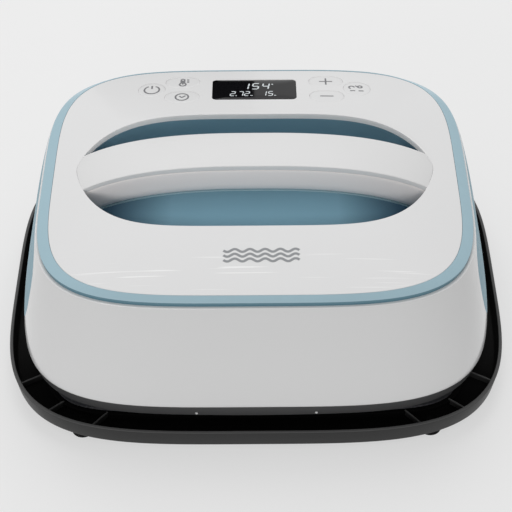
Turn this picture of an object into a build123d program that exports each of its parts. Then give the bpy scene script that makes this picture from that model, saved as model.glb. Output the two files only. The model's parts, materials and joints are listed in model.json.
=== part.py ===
from build123d import *
import os
from math import copysign, cos, pi, sin

os.makedirs("parts", exist_ok=True)

# A hand-held flat heat press with a 12 x 10 inch heat plate, resting in its insulated base tray.
# Millimetres. +X to the right, +Y to the back (control panel side), +Z up, origin on the table
# under the middle of the tray.

# ---------------------------------------------------------------- driving dimensions
PLATE_LENGTH = 304.8            # heat plate, along X
PLATE_DEPTH = 254.0             # heat plate, along Y
PLATE_CORNER = 34.0
PLATE_BOTTOM = 13.0             # working face when the press rests in the tray
PLATE_THICK = 8.0

TRAY_X, TRAY_Y, TRAY_POWER = 188.4, 158.5, 3.94     # half sizes of the rim, superellipse power
TRAY_TOP = 20.8
TRAY_FLOOR = 5.0
TRAY_WALL = 2.4
TRAY_DRAFT = 2.2

SHELL_X, SHELL_Y, SHELL_POWER = 175.0, 149.5, 4.05  # lower edge of the white body
SHELL_BOTTOM = 37.6
SHOULDER_X, SHOULDER_Y, SHOULDER_POWER = 159.2, 132.6, 4.17
SHOULDER_Z = 121.8
SHELL_WALL = 2.8
FLARE_POWER = 1.55              # how the side bulges between shoulder and lower edge

RING_X, RING_Y, RING_POWER = 157.7, 130.9, 4.17     # widest edge of the coloured trim ring
RING_EDGE_Z = 125.2
COVER_X, COVER_Y, COVER_POWER = 149.4, 126.8, 4.28  # where ring and top cover meet
COVER_Z = 128.8
COVER_RISE = 13.0
COVER_WALL = 2.6
COVER_SKIRT = 5.4               # height of the cover's wall inside the ring

OPENING_X = 132.3                # half length of the opening in the cover
OPENING_FRONT, OPENING_BACK = 69.9, 55.0        # its reach to each side of its long axis
OPENING_AXIS_Y = 3.5
OPENING_END_POWER, OPENING_SIDE_POWER = 4.75, 1.42
LIP = 4.8                       # visible edge of the cover round the handle opening
LIP_WIDTH = 4.5
BOWL_FLOOR = 83.0
BOWL_WALL = 2.2
LIP_UNDERSIDE = 133.0

ARCH_TOP = 154.1                # front top edge of the handle at its middle
ARCH_REACH = 128.5
ARCH_RISE = 21.7
ARCH_POWER = 2.85
HANDLE_WIDTH = 38.2
HANDLE_CENTRE_Y = -1.1
HANDLE_DEPTH = 26.0
CAP_DEPTH = 4.5                 # from the top edge to the seam
LINER = 1.8

PANEL_X = 0.0                   # middle of the control panel
PANEL_Y = 95.4
WINDOW_LENGTH, WINDOW_DEPTH, WINDOW_CORNER = 65.6, 31.6, 3.5
WINDOW_THICK = 2.0
BOARD_DEPTH = 11.0              # from the cover's surface to the control board's upper face
KEY_STROKE = 0.6
ROUND_KEY = 21.2                # diameter
PILL_LENGTH, PILL_DEPTH = 27.0, 16.6
KEY_GAP = 0.25
KEY_FLANGE = 1.1                # how far a key's retaining flange reaches out under the cover
FLANGE_DEPTH = 3.5
PLUNGER_DEPTH = 5.4

SKIRT_X, SKIRT_Y = 172.0, 146.5
SKIRT_BOTTOM = 27.4
SKIRT_WALL = 3.0
FLANGE_X, FLANGE_Y = 150.0, 124.5   # inner edge of the chassis flange

FOOT_X, FOOT_Y, FOOT_RADIUS = 127.2, 136.6, 8.4
GLAND_Z = 62.0
CORD_BORE = 7.4

# Every control on the panel: name, place on the cover (x, y), and whether it is round.
KEY_ROW = 12.4                  # from the panel's middle to the upper row of keys
KEYS = [
    ("power_key", PANEL_X - 80.4, PANEL_Y + 1.3, True),
    ("temperature_key", PANEL_X - 56.4, PANEL_Y + KEY_ROW, False),
    ("timer_key", PANEL_X - 56.4, PANEL_Y + 1.6 - KEY_ROW, False),
    ("plus_key", PANEL_X + 56.4, PANEL_Y + KEY_ROW, False),
    ("minus_key", PANEL_X + 56.4, PANEL_Y + 1.6 - KEY_ROW, False),
    ("mode_key", PANEL_X + 80.4, PANEL_Y + 1.3, True),
]


# ---------------------------------------------------------------- outlines and solids
def superellipse(half_x, half_y, power, z, points=28):
    """Closed curve |x/a|^n + |y/b|^n = 1 at one height."""
    spots = []
    for i in range(points):
        angle = 2 * pi * (i + 0.5) / points
        x = half_x * copysign(abs(cos(angle)) ** (2 / power), cos(angle))
        y = half_y * copysign(abs(sin(angle)) ** (2 / power), sin(angle))
        spots.append(Vector(x, y, z))
    return Wire([Edge.make_spline(spots, periodic=True)])


def oval(half_x, front, back, z, points=36):
    """Long opening outline with drawn-out ends, reaching further to the front than to the back."""
    spots = []
    for i in range(points):
        angle = 2 * pi * (i + 0.5) / points
        half_y = back if sin(angle) > 0 else front
        x = half_x * copysign(abs(cos(angle)) ** (2 / OPENING_END_POWER), cos(angle))
        y = half_y * copysign(abs(sin(angle)) ** (2 / OPENING_SIDE_POWER), sin(angle))
        spots.append(Vector(x, y + OPENING_AXIS_Y, z))
    return Wire([Edge.make_spline(spots, periodic=True)])


def opening_column(grow, low, high):
    """Upright solid with the opening's outline, grown by an even margin."""
    base = Face(oval(OPENING_X + grow, OPENING_FRONT + grow, OPENING_BACK + grow, low))
    return Solid.extrude(base, Vector(0, 0, high - low))


def column(half_x, half_y, power, low, high):
    """Straight upright solid with a superellipse outline."""
    base = Face(superellipse(half_x, half_y, power, low))
    return Solid.extrude(base, Vector(0, 0, high - low))


def loft_through(sections, ruled=False):
    """Solid through (half_x, half_y, power, z) outlines."""
    return Solid.make_loft([superellipse(*section) for section in sections], ruled)


def cylinder(radius, low, high, x=0.0, y=0.0):
    return Pos(x, y, low) * Solid.make_cylinder(radius, high - low)


def block(x0, y0, z0, x1, y1, z1):
    return Pos(x0, y0, z0) * Solid.make_box(x1 - x0, y1 - y0, z1 - z0)


def flare_section(z, inset):
    """Outline of the white body at one height, bulging from the shoulder to the lower edge."""
    t = (SHOULDER_Z - z) / (SHOULDER_Z - SHELL_BOTTOM)
    f = 1 - (1 - t) ** FLARE_POWER
    half_x = SHOULDER_X + (SHELL_X - SHOULDER_X) * f - inset
    half_y = SHOULDER_Y + (SHELL_Y - SHOULDER_Y) * f - inset
    power = SHOULDER_POWER + (SHELL_POWER - SHOULDER_POWER) * f
    return (half_x, half_y, power, z)


def flare(inset=0.0, low=SHELL_BOTTOM, high=SHOULDER_Z, sections=6):
    step = (high - low) / (sections - 1)
    return loft_through([flare_section(low + step * i, inset) for i in range(sections)])


def crown_height(x, y):
    """Height of the top cover's outer surface."""
    rho = ((abs(x) / COVER_X) ** COVER_POWER + (abs(y) / COVER_Y) ** COVER_POWER) ** (1 / COVER_POWER)
    return COVER_Z + COVER_RISE * (1 - rho ** 2)


def crown(drop=0.0, inset=0.0, low=COVER_Z - COVER_SKIRT):
    """Solid under the top cover's domed surface, lowered by drop and drawn in by inset."""
    half_x, half_y = COVER_X - 0.1 - inset, COVER_Y - 0.1 - inset
    wall = column(half_x, half_y, COVER_POWER, low, COVER_Z - drop)
    sections = []
    for rho in (1.0, 0.94, 0.86, 0.76, 0.66, 0.56, 0.46, 0.36):
        height = COVER_Z + COVER_RISE * (1 - rho ** 2) - drop
        sections.append((half_x * rho, half_y * rho, COVER_POWER, height))
    return wall + loft_through(sections)


def crown_plane(x, y, depth=0.0):
    """Plane on the cover's surface at (x, y): its z axis is the outward normal."""
    step = 0.5
    slope_x = (crown_height(x + step, y) - crown_height(x - step, y)) / (2 * step)
    slope_y = (crown_height(x, y + step) - crown_height(x, y - step)) / (2 * step)
    normal = Vector(-slope_x, -slope_y, 1).normalized()
    origin = Vector(x, y, crown_height(x, y)) - normal * depth
    return Plane(origin, x_dir=Vector(1, 0, slope_x), z_dir=normal)


def well(shrink=0.0):
    """Space of the finger bowl and of the opening above it."""
    def ring(half_x, front, back, z):
        return oval(half_x - shrink, front - shrink, back - shrink, z)
    floor = BOWL_FLOOR + shrink
    lower = Solid.make_loft([
        ring(104.0, 45.5, 36.5, floor),
        ring(114.0, 54.5, 45.0, floor + 4.0),
        ring(122.0, 61.5, 50.5, floor + 14.0),
        ring(128.5, 67.0, 53.8, floor + 31.0),
        ring(OPENING_X, OPENING_FRONT, OPENING_BACK, LIP_UNDERSIDE),
    ])
    return lower + opening_column(-shrink, LIP_UNDERSIDE, 165.0)


def bored(radius, places, low, high):
    """Upright bores at several (x, y) places, to cut from a solid."""
    return [cylinder(radius, low, high, x, y) for x, y in places]


def four(x, y):
    return [(x, y), (-x, y), (-x, -y), (x, -y)]


def screw(radius, length, head_radius, head_height):
    """Pan-head screw pointing down, its bearing face at z = 0, with a cross recess."""
    head = Solid.make_cylinder(head_radius, head_height)
    head = head.fillet(head_height * 0.45, [head.edges().sort_by(Axis.Z)[-1]])
    shank = Pos(0, 0, -length) * Solid.make_cylinder(radius, length)
    arm = head_radius * 0.55
    slot = block(-arm, -0.45, head_height * 0.4, arm, 0.45, head_height + 1)
    return head + shank - slot - Rot(0, 0, 90) * slot


def save(name, *solids):
    shape = solids[0] if len(solids) == 1 else Compound(list(solids))
    export_step(shape, f"parts/{name}.step")


# ---------------------------------------------------------------- base tray
TRAY_CHANNEL_Z = TRAY_FLOOR + 3.0
MAT_X, MAT_Y, MAT_POWER = 155.0, 129.6, 7.0
MAT_TOP = PLATE_BOTTOM - 0.2
REFLECTOR_THICK = 0.6


def corner_ribs():
    """Three low upright ribs across the channel at each corner of the tray."""
    ribs = []
    for angle in (30, 40, 50):
        rib = block(0, -0.9, TRAY_CHANNEL_Z - 0.5, 260, 0.9, TRAY_CHANNEL_Z + 4.4)
        for turn in (angle, 180 - angle, 180 + angle, 360 - angle):
            ribs.append(Rot(0, 0, turn) * rib)
    return ribs


def make_base_tray():
    outside = loft_through([
        (TRAY_X - TRAY_DRAFT - 1.6, TRAY_Y - TRAY_DRAFT - 1.6, TRAY_POWER, TRAY_FLOOR),
        (TRAY_X - TRAY_DRAFT, TRAY_Y - TRAY_DRAFT, TRAY_POWER, TRAY_FLOOR + 1.6),
        (TRAY_X, TRAY_Y, TRAY_POWER, TRAY_TOP - 1.0),
        (TRAY_X - 0.7, TRAY_Y - 0.7, TRAY_POWER, TRAY_TOP),
    ], ruled=True)
    inside = loft_through([
        (TRAY_X - TRAY_DRAFT - TRAY_WALL, TRAY_Y - TRAY_DRAFT - TRAY_WALL, TRAY_POWER, TRAY_CHANNEL_Z),
        (TRAY_X - TRAY_WALL, TRAY_Y - TRAY_WALL, TRAY_POWER, TRAY_TOP + 1.0),
    ], ruled=True)
    ribs = [rib & inside for rib in corner_ribs()]
    kerb = column(MAT_X + 3.4, MAT_Y + 3.4, MAT_POWER, TRAY_CHANNEL_Z - 0.5, TRAY_CHANNEL_Z + 3.6)
    pocket = column(MAT_X + 0.3, MAT_Y + 0.3, MAT_POWER, TRAY_CHANNEL_Z, TRAY_TOP + 2)
    tray = (outside - inside) + kerb
    tray = tray + ribs
    tray = tray - pocket
    holes = bored(3.0, four(FOOT_X, FOOT_Y), 0, TRAY_CHANNEL_Z + 1)
    save("base_tray", tray - holes)


def make_tray_inserts():
    save("heat_reflector", column(MAT_X - 1.0, MAT_Y - 1.0, MAT_POWER, TRAY_CHANNEL_Z,
                                  TRAY_CHANNEL_Z + REFLECTOR_THICK))
    save("insulating_mat", column(MAT_X, MAT_Y, MAT_POWER, TRAY_CHANNEL_Z + REFLECTOR_THICK, MAT_TOP))


def make_tray_feet():
    foot = Solid.make_cylinder(FOOT_RADIUS, TRAY_FLOOR)
    foot = foot.fillet(1.4, [foot.edges().sort_by(Axis.Z)[0]])
    foot = foot + cylinder(2.9, TRAY_FLOOR, TRAY_CHANNEL_Z + 1.0)
    save("tray_feet", *[Pos(x, y, 0) * foot for x, y in four(FOOT_X, FOOT_Y)])


# ---------------------------------------------------------------- heat plate and its stack
PLATE_TOP = PLATE_BOTTOM + PLATE_THICK
STANDOFFS = four(118.0, 88.0) + [(0.0, 84.0), (0.0, -84.0)]
ELEMENT_RADIUS = 3.5
SENSOR_SPOT = (34.0, 22.0)
FUSE_SPOT = (-34.0, 22.0)
FUSE_RADIUS = 1.5
SHIELD_THICK = 1.0
CELL_THICK = 2.5
CELL_LOW = SHELL_BOTTOM - CELL_THICK
FLANGE_LOW = SHELL_BOTTOM - 3.0


def element_path():
    """The sheathed element: one loop round the plate's edge, then one inside it, ends at the back."""
    outer_x, outer_y, inner_x, inner_y, lead_x = 132.0, 104.0, 86.0, 46.0, 28.0
    return FilletPolyline(
        (-lead_x / 2, outer_y), (-outer_x, outer_y), (-outer_x, -outer_y), (outer_x, -outer_y),
        (outer_x, outer_y), (lead_x, outer_y), (lead_x, inner_y), (inner_x, inner_y),
        (inner_x, -inner_y), (-inner_x, -inner_y), (-inner_x, inner_y), (-lead_x / 2, inner_y),
        radius=10.0)


def make_heat_plate():
    plate = Solid.make_box(PLATE_LENGTH, PLATE_DEPTH, PLATE_THICK)
    plate = Pos(-PLATE_LENGTH / 2, -PLATE_DEPTH / 2, PLATE_BOTTOM) * plate
    plate = plate.fillet(PLATE_CORNER, plate.edges().filter_by(Axis.Z))
    low_edges = plate.edges().group_by(Axis.Z)[0]
    plate = plate.fillet(2.0, low_edges)
    path = Pos(0, 0, PLATE_TOP) * element_path()
    section = Plane(path @ 0, z_dir=path % 0) * Circle(ELEMENT_RADIUS + 0.1)
    groove = sweep(section, path=path)
    plate = plate - groove
    for x, y in STANDOFFS:
        plate = plate - cylinder(1.7, PLATE_TOP - 5.0, PLATE_TOP + 1, x, y)
    save("heat_plate", plate)
    rod = Plane(path @ 0, z_dir=path % 0) * Circle(ELEMENT_RADIUS)
    save("heating_element", sweep(rod, path=path).solid())


def make_plate_sensors():
    """Bead sensor with a flat lead tail, and a thermal fuse lying along X under a saddle clamp."""
    x, y = SENSOR_SPOT
    tail = block(x - 2, y, PLATE_TOP, x + 2, y + 14, PLATE_TOP + 1.6)
    save("temperature_sensor", cylinder(4.0, PLATE_TOP, PLATE_TOP + 2.0, x, y) + tail)
    x, y = FUSE_SPOT
    fuse_z = PLATE_TOP + 2.0
    lying = Pos(x, y, fuse_z) * Rot(0, 90, 0)
    strap = block(x + 3, y - 5, PLATE_TOP, x + 8, y + 5, fuse_z + 2.2)
    strap = strap - lying * Solid.make_cylinder(FUSE_RADIUS + 0.05, 12)
    save("thermal_fuse", lying * Solid.make_cylinder(FUSE_RADIUS, 11))
    save("fuse_clamp", strap)


def make_standoffs():
    post = cylinder(4.5, PLATE_TOP, CELL_LOW) - cylinder(1.7, PLATE_TOP - 1, CELL_LOW + 1)
    save("plate_standoffs", *[Pos(x, y, 0) * post for x, y in STANDOFFS])
    cell = cylinder(8.0, CELL_LOW, SHELL_BOTTOM) - cylinder(1.7, CELL_LOW - 1, SHELL_BOTTOM + 1)
    save("pressure_cells", *[Pos(x, y, 0) * cell for x, y in STANDOFFS])
    length = SHELL_BOTTOM + SHIELD_THICK - PLATE_TOP + 4.0
    bolt = Pos(0, 0, SHELL_BOTTOM + SHIELD_THICK) * screw(1.6, length, 3.6, 2.4)
    save("plate_screws", *[Pos(x, y, 0) * bolt for x, y in STANDOFFS])


def make_insulation():
    """Blanket over the element, with round holes for the standoffs and a pocket for the fuse clamp."""
    blanket = column(FLANGE_X - 1.0, FLANGE_Y - 1.0, 6.0, PLATE_TOP + ELEMENT_RADIUS + 0.5, CELL_LOW - 0.5)
    blanket = blanket - bored(5.0, STANDOFFS, PLATE_TOP, SHELL_BOTTOM)
    x, y = FUSE_SPOT
    pocket = block(x + 1.5, y - 6.5, PLATE_TOP, x + 9.5, y + 6.5, PLATE_TOP + 5.2)
    save("insulation_blanket", blanket - pocket)


SHIELD_SCREWS = four(152.6, 40.0) + four(40.0, 127.6)
SHELL_SCREWS = four(162.8, 60.0) + four(60.0, 137.3)


def make_heat_shield():
    shield = column(155.6, 130.6, 5.0, SHELL_BOTTOM, SHELL_BOTTOM + SHIELD_THICK)
    shield = shield - bored(1.7, STANDOFFS, SHELL_BOTTOM - 1, SHELL_BOTTOM + 3)
    shield = shield - bored(1.6, SHIELD_SCREWS, SHELL_BOTTOM - 1, SHELL_BOTTOM + 3)
    save("heat_shield", shield)
    bolt = Pos(0, 0, SHELL_BOTTOM + SHIELD_THICK) * screw(1.5, 4.0, 2.8, 1.8)
    save("shield_screws", *[Pos(x, y, 0) * bolt for x, y in SHIELD_SCREWS])


def make_skirt():
    """Dark heat-resistant skirt, which is the chassis that the shield and body screw to."""
    outside = column(SKIRT_X, SKIRT_Y, SHELL_POWER, SKIRT_BOTTOM, SHELL_BOTTOM)
    inside = column(SKIRT_X - SKIRT_WALL, SKIRT_Y - SKIRT_WALL, SHELL_POWER, SKIRT_BOTTOM - 1, FLANGE_LOW)
    middle = column(FLANGE_X, FLANGE_Y, 6.0, SKIRT_BOTTOM, SHELL_BOTTOM + 1)
    skirt = outside - inside - middle
    skirt = skirt - bored(1.6, SHIELD_SCREWS, FLANGE_LOW - 1, SHELL_BOTTOM + 1)
    skirt = skirt - bored(1.9, SHELL_SCREWS, FLANGE_LOW - 1, SHELL_BOTTOM + 1)
    save("lower_skirt", skirt - pins(0.05))


def pins(extra=0.0):
    """Small steel pins through the skirt's lower edge, two at the front and two at the back."""
    pin_set = []
    for x in (-43.0, 43.0):
        for side in (-1, 1):
            face_y = SKIRT_Y * (1 - (abs(x) / SKIRT_X) ** SHELL_POWER) ** (1 / SHELL_POWER)
            shaft = Solid.make_cylinder(1.0 + extra, SKIRT_WALL + 1.5)
            turn = 90 if side < 0 else -90
            pin_set.append(Pos(x, side * (face_y + 0.5), 29.2) * Rot(-turn, 0, 0) * shaft)
    return pin_set


# ---------------------------------------------------------------- lower body
VENT_SLOTS = 9
VENT_PITCH = 9.0
INLAY_Y, INLAY_Z, INLAY_CENTRE_Z, INLAY_POWER = 84.0, 48.0, 84.0, 2.5
INLAY_LOW, INLAY_HIGH = 43.0, SHOULDER_Z - 2.6


def inlay_column(side, shrink=0.0):
    """The side inlay's outline in side view, pushed out along X: bowed ends, straight top and bottom."""
    spots = []
    for i in range(36):
        angle = 2 * pi * (i + 0.5) / 36
        y = (INLAY_Y - shrink) * copysign(abs(cos(angle)) ** (2 / INLAY_POWER), cos(angle))
        z = (INLAY_Z - shrink) * copysign(abs(sin(angle)) ** (2 / INLAY_POWER), sin(angle))
        spots.append(Vector(side * 130.0, y, INLAY_CENTRE_Z + z))
    face = Face(Wire([Edge.make_spline(spots, periodic=True)]))
    solid = Solid.extrude(face, Vector(side * 60.0, 0, 0))
    x0, x1 = sorted((side * 120.0, side * 200.0))
    return solid & block(x0, -100, INLAY_LOW + shrink, x1, 100, INLAY_HIGH - shrink)


GLAND_WALL_Y = flare_section(GLAND_Z, 0.0)[1]
GLAND_PAD = 1.8                 # flat seat that the gland's flange bears on


def vent_slots(side):
    slots = []
    for i in range(VENT_SLOTS):
        y = (i - (VENT_SLOTS - 1) / 2) * VENT_PITCH
        x0, x1 = sorted((side * 150.0, side * 185.0))
        slot = block(x0, y - 1.5, 54.0, x1, y + 1.5, 72.0)
        slots.append(slot.fillet(1.4, slot.edges().filter_by(Axis.X)))
    return slots


def make_lower_shell():
    outer = flare()
    top_edge = outer.edges().group_by(Axis.Z)[-1]
    outer = outer.fillet(0.8, top_edge)
    cavity = flare(SHELL_WALL, SHELL_BOTTOM + 2.0, SHOULDER_Z - 2.5)
    shell = outer - cavity
    shell = shell - column(SHELL_X - 9.0, SHELL_Y - 9.0, SHELL_POWER, SHELL_BOTTOM - 1, SHELL_BOTTOM + 3)
    shell = shell - column(136.0, 112.0, SHOULDER_POWER, SHOULDER_Z - 4, SHOULDER_Z + 1)
    shell = shell - block(PANEL_X - 106, 70, SHOULDER_Z - 4, PANEL_X + 106, 119.5, SHOULDER_Z + 1)
    for x, y in SHELL_SCREWS:
        shell = shell + cylinder(4.6, SHELL_BOTTOM, SHELL_BOTTOM + 16, x, y)
    shell = shell - bored(1.6, SHELL_SCREWS, SHELL_BOTTOM - 1, SHELL_BOTTOM + 14)
    shell = shell - bored(1.6, COVER_SCREWS, SHOULDER_Z - 4, SHOULDER_Z + 1)
    skin = flare(-2.0, SHELL_BOTTOM + 0.5, SHOULDER_Z - 0.5) - flare(1.5, SHELL_BOTTOM, SHOULDER_Z)
    for side, name in ((-1, "side_inlay_left"), (1, "side_inlay_right")):
        shell = shell - (skin & inlay_column(side))
        panel = (flare() - flare(1.45)) & inlay_column(side, 0.1)
        shell = shell - vent_slots(side)
        save(name, panel - vent_slots(side))
    pad = Pos(0, GLAND_WALL_Y - 2, GLAND_Z) * Rot(-90, 0, 0) * Solid.make_cylinder(10.5, 2.0 + GLAND_PAD)
    gland_bore = Pos(0, 130, GLAND_Z) * Rot(-90, 0, 0) * Solid.make_cylinder(6.1, 40)
    shell = shell + pad - gland_bore
    save("lower_shell", shell)
    bolt = Pos(0, 0, FLANGE_LOW) * Rot(180, 0, 0) * screw(1.5, 14.0, 3.0, 2.2)
    save("shell_screws", *[Pos(x, y, 0) * bolt for x, y in SHELL_SCREWS])


def make_cord_gland():
    """Strain relief at the back: a flange outside the wall, a nut inside, one bore for the cord."""
    axis = Pos(0, GLAND_WALL_Y, GLAND_Z) * Rot(-90, 0, 0)
    sleeve = Pos(0, 0, -9) * Solid.make_cylinder(6.0, 18.4)
    flange = Pos(0, 0, GLAND_PAD) * Solid.make_cylinder(9.0, 2.4)
    flange = flange.fillet(0.8, flange.edges().group_by(Axis.Z)[-1])
    gland = sleeve + flange
    collar = Solid.make_cylinder(7, 1.1) - Solid.make_cylinder(5.2, 1.1)
    for i in range(2):
        gland = gland - (Pos(0, 0, GLAND_PAD + 3.2 + 2.0 * i) * collar)
    gland = gland - Pos(0, 0, -12) * Solid.make_cylinder(CORD_BORE / 2, 30)
    save("cord_gland", axis * gland)
    corners = [Vector(9.5 * cos(pi / 3 * i), 9.5 * sin(pi / 3 * i), -8.0) for i in range(6)]
    nut = Solid.extrude(Face(Wire.make_polygon(corners)), Vector(0, 0, 4.0))
    save("gland_nut", axis * (nut - Pos(0, 0, -9) * Solid.make_cylinder(6.05, 7)))


# ---------------------------------------------------------------- trim ring and top cover
COVER_SCREWS = four(141.2, 40.0) + four(118.0, 103.0)


def make_trim_ring():
    outside = loft_through([
        (RING_X - 0.5, RING_Y - 0.5, RING_POWER, SHOULDER_Z),
        (RING_X, RING_Y, RING_POWER, RING_EDGE_Z),
        (COVER_X, COVER_Y, COVER_POWER, COVER_Z),
    ], ruled=True)
    ledge = column(COVER_X - 3.4, COVER_Y - 3.4, COVER_POWER, SHOULDER_Z - 1, COVER_Z + 1)
    seat = column(COVER_X + 0.02, COVER_Y + 0.02, COVER_POWER, COVER_Z - COVER_SKIRT, COVER_Z + 1)
    save("trim_ring", outside - ledge - seat)


def key_outline(round_key, grow):
    if round_key:
        return Circle(ROUND_KEY / 2 + grow)
    return SlotOverall(PILL_LENGTH + 2 * grow, PILL_DEPTH + 2 * grow)


def key_prism(x, y, round_key, grow, top, bottom):
    """Prism along the cover's normal at a key, between two depths measured from the surface."""
    plane = crown_plane(x, y, bottom)
    return extrude(plane * key_outline(round_key, grow), amount=bottom - top, dir=plane.z_dir)


PANEL_PLANE = crown_plane(PANEL_X, PANEL_Y)


def window_prism(grow, top, bottom):
    plane = crown_plane(PANEL_X, PANEL_Y, bottom)
    pane = RectangleRounded(WINDOW_LENGTH + 2 * grow, WINDOW_DEPTH + 2 * grow, WINDOW_CORNER + grow)
    return extrude(plane * pane, amount=bottom - top, dir=plane.z_dir)


BOARD_POSTS = [(-98.0, 0.0), (98.0, 0.0), (-36.5, -18.6), (36.5, -18.6)]
# Parts on the board's underside: place (x, y), length, depth and height
BOARD_CHIPS = [(-12, 2, 12, 12, 1.6), (14, -6, 10, 6, 1.6), (-62, 0, 8, 5, 2.0), (62, 4, 8, 5, 2.0)]


def panel_solid(x, y, radius, low, high):
    """Cylinder along the panel's mean normal at panel coordinates (x, y)."""
    spot = PANEL_PLANE.from_local_coords(Vector(x, y, low))
    plane = Plane(spot, x_dir=PANEL_PLANE.x_dir, z_dir=PANEL_PLANE.z_dir)
    return Solid.make_cylinder(radius, high - low, plane)


def make_top_cover():
    cover = crown() - crown(COVER_WALL, COVER_WALL, COVER_Z - COVER_SKIRT - 1)
    cover = cover + ((crown() - crown(LIP)) & opening_column(LIP_WIDTH, 110, 160))
    cover = cover - opening_column(0, 100, 170)
    under = crown(COVER_WALL - 0.4, COVER_WALL - 0.4, COVER_Z - 20)
    for x, y in BOARD_POSTS:
        cover = cover + (panel_solid(x, y, 3.0, -BOARD_DEPTH, -0.5) & under)
        cover = cover - panel_solid(x, y, 1.25, -BOARD_DEPTH - 1, -BOARD_DEPTH + 6)
    for x, y in COVER_SCREWS:
        cover = cover + (cylinder(4.0, SHOULDER_Z, COVER_Z + 12, x, y) & under)
        cover = cover - cylinder(1.6, SHOULDER_Z - 1, SHOULDER_Z + 6, x, y)
    cover = cover - window_prism(0.15, -2.0, 6.0)
    for name, x, y, round_key in KEYS:
        cover = cover - key_prism(x, y, round_key, KEY_GAP, -2.0, 5.0)
    save("top_cover", cover)
    bolt = Pos(0, 0, SHOULDER_Z - 2.5) * Rot(180, 0, 0) * screw(1.5, 8.0, 3.0, 2.0)
    save("cover_screws", *[Pos(x, y, 0) * bolt for x, y in COVER_SCREWS])


def make_keys():
    surface = crown()
    for name, x, y, round_key in KEYS:
        cap = key_prism(x, y, round_key, 0.0, -1.0, FLANGE_DEPTH + 0.2) & surface
        flange = key_prism(x, y, round_key, KEY_FLANGE, FLANGE_DEPTH, FLANGE_DEPTH + 0.9)
        plunger = Solid.make_cylinder(2.0, 1.2, crown_plane(x, y, PLUNGER_DEPTH))
        save(name, cap + flange + plunger)


# ---------------------------------------------------------------- display and control board
def make_display():
    save("display_window", window_prism(0.0, -1.0, WINDOW_THICK) & crown())
    plane = crown_plane(PANEL_X, PANEL_Y, BOARD_DEPTH - 0.05)
    thick = BOARD_DEPTH - WINDOW_THICK - 0.4
    save("lcd_module", extrude(plane * Rectangle(60.0, 27.0), amount=thick, dir=plane.z_dir))


def make_control_board():
    plane = crown_plane(PANEL_X, PANEL_Y, BOARD_DEPTH + 1.6)
    outline = Rectangle(204.0, 30.0) + Pos(0, -2.0) * Rectangle(86.0, 40.0)
    board = extrude(plane * outline, amount=1.6, dir=plane.z_dir)
    for x, y in BOARD_POSTS:
        board = board - panel_solid(x, y, 1.4, -BOARD_DEPTH - 4, -BOARD_DEPTH + 1)
    for x, y, length, depth, height in BOARD_CHIPS:
        chip = plane * Pos(x, y) * Rectangle(length, depth)
        board = board + extrude(chip, amount=height, dir=-plane.z_dir)
    save("control_board", board)
    bolts = []
    for x, y in BOARD_POSTS:
        spot = PANEL_PLANE.from_local_coords(Vector(x, y, -BOARD_DEPTH - 1.6))
        seat = Plane(spot, x_dir=PANEL_PLANE.x_dir, z_dir=-PANEL_PLANE.z_dir)
        bolts.append(seat.location * screw(1.2, 6.0, 2.4, 1.6))
    save("board_screws", *bolts)


def make_switches():
    """One small push switch under each key, its stem just clear of the key's plunger."""
    switches = []
    for name, x, y, round_key in KEYS:
        surface_spot = crown_plane(x, y).origin
        local = PANEL_PLANE.to_local_coords(surface_spot)
        base = PANEL_PLANE.from_local_coords(Vector(local.X, local.Y, -BOARD_DEPTH))
        plane = Plane(base, x_dir=PANEL_PLANE.x_dir, z_dir=PANEL_PLANE.z_dir)
        body = extrude(plane * Rectangle(6.0, 6.0), amount=3.0, dir=plane.z_dir)
        room = BOARD_DEPTH + local.Z - PLUNGER_DEPTH - KEY_STROKE - 0.2
        switches.append(body + Solid.make_cylinder(1.6, room, plane))
    save("push_switches", *[switch.solid() for switch in switches])
    spot = PANEL_PLANE.from_local_coords(Vector(38.0, 2.0, -BOARD_DEPTH - 1.6))
    sounder = Solid.make_cylinder(4.8, 5.0, Plane(spot, x_dir=PANEL_PLANE.x_dir, z_dir=-PANEL_PLANE.z_dir))
    save("sounder", sounder)


# ---------------------------------------------------------------- power electronics
POWER_Z = 48.0
POWER_POSTS = [(-56.0, 40.0), (56.0, 40.0), (-56.0, -40.0), (56.0, -40.0)]


def make_power_board():
    board = block(-62, -46, POWER_Z, 62, 46, POWER_Z + 1.6)
    board = board - bored(1.6, POWER_POSTS, POWER_Z - 1, POWER_Z + 3)
    save("power_board", board)
    low = SHELL_BOTTOM + SHIELD_THICK
    post = cylinder(3.5, low, POWER_Z) - cylinder(1.6, POWER_Z - 7, POWER_Z + 1)
    save("board_standoffs", *[Pos(x, y, 0) * post for x, y in POWER_POSTS])
    bolt = Pos(0, 0, POWER_Z + 1.6) * screw(1.5, 7.0, 2.8, 1.8)
    save("power_board_screws", *[Pos(x, y, 0) * bolt for x, y in POWER_POSTS])
    top = POWER_Z + 1.6
    save("power_relay", block(-44, -30, top, -25, -14, top + 15.5))
    save("mains_transformer", block(-6, -34, top, 22, -10, top + 19))
    fins = block(28, 8, top, 46, 34, top + 3)
    for i in range(5):
        fins = fins + block(28 + 4 * i, 8, top, 29.6 + 4 * i, 34, top + 20)
    save("heat_sink", fins)
    save("filter_capacitor", cylinder(6.2, top, top + 21, -32, 14))
    save("lead_terminals", block(-16, 30, top, 16, 42, top + 10))


def make_ribbon():
    """Flat cable from the control board down behind the finger bowl to the power board."""
    low = POWER_Z + 1.6
    route = [(52, low), (52, low + 8), (78, low + 16), (78, 106), (92, 117.0)]
    path = FilletPolyline(*[Vector(-30, y, z) for y, z in route], radius=4.0)
    section = Plane(path @ 0, x_dir=Vector(1, 0, 0), z_dir=path % 0) * Rectangle(20.0, 1.0)
    save("ribbon_cable", sweep(section, path=path).solid())


# ---------------------------------------------------------------- handle and finger bowl
HANDLE_SCREWS = [(side, y) for side in (-1, 1) for y in (-9.0, 9.0)]
HANDLE_SCREW_Z = 117.0
HANDLE_BOSS_X = 132.5


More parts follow.
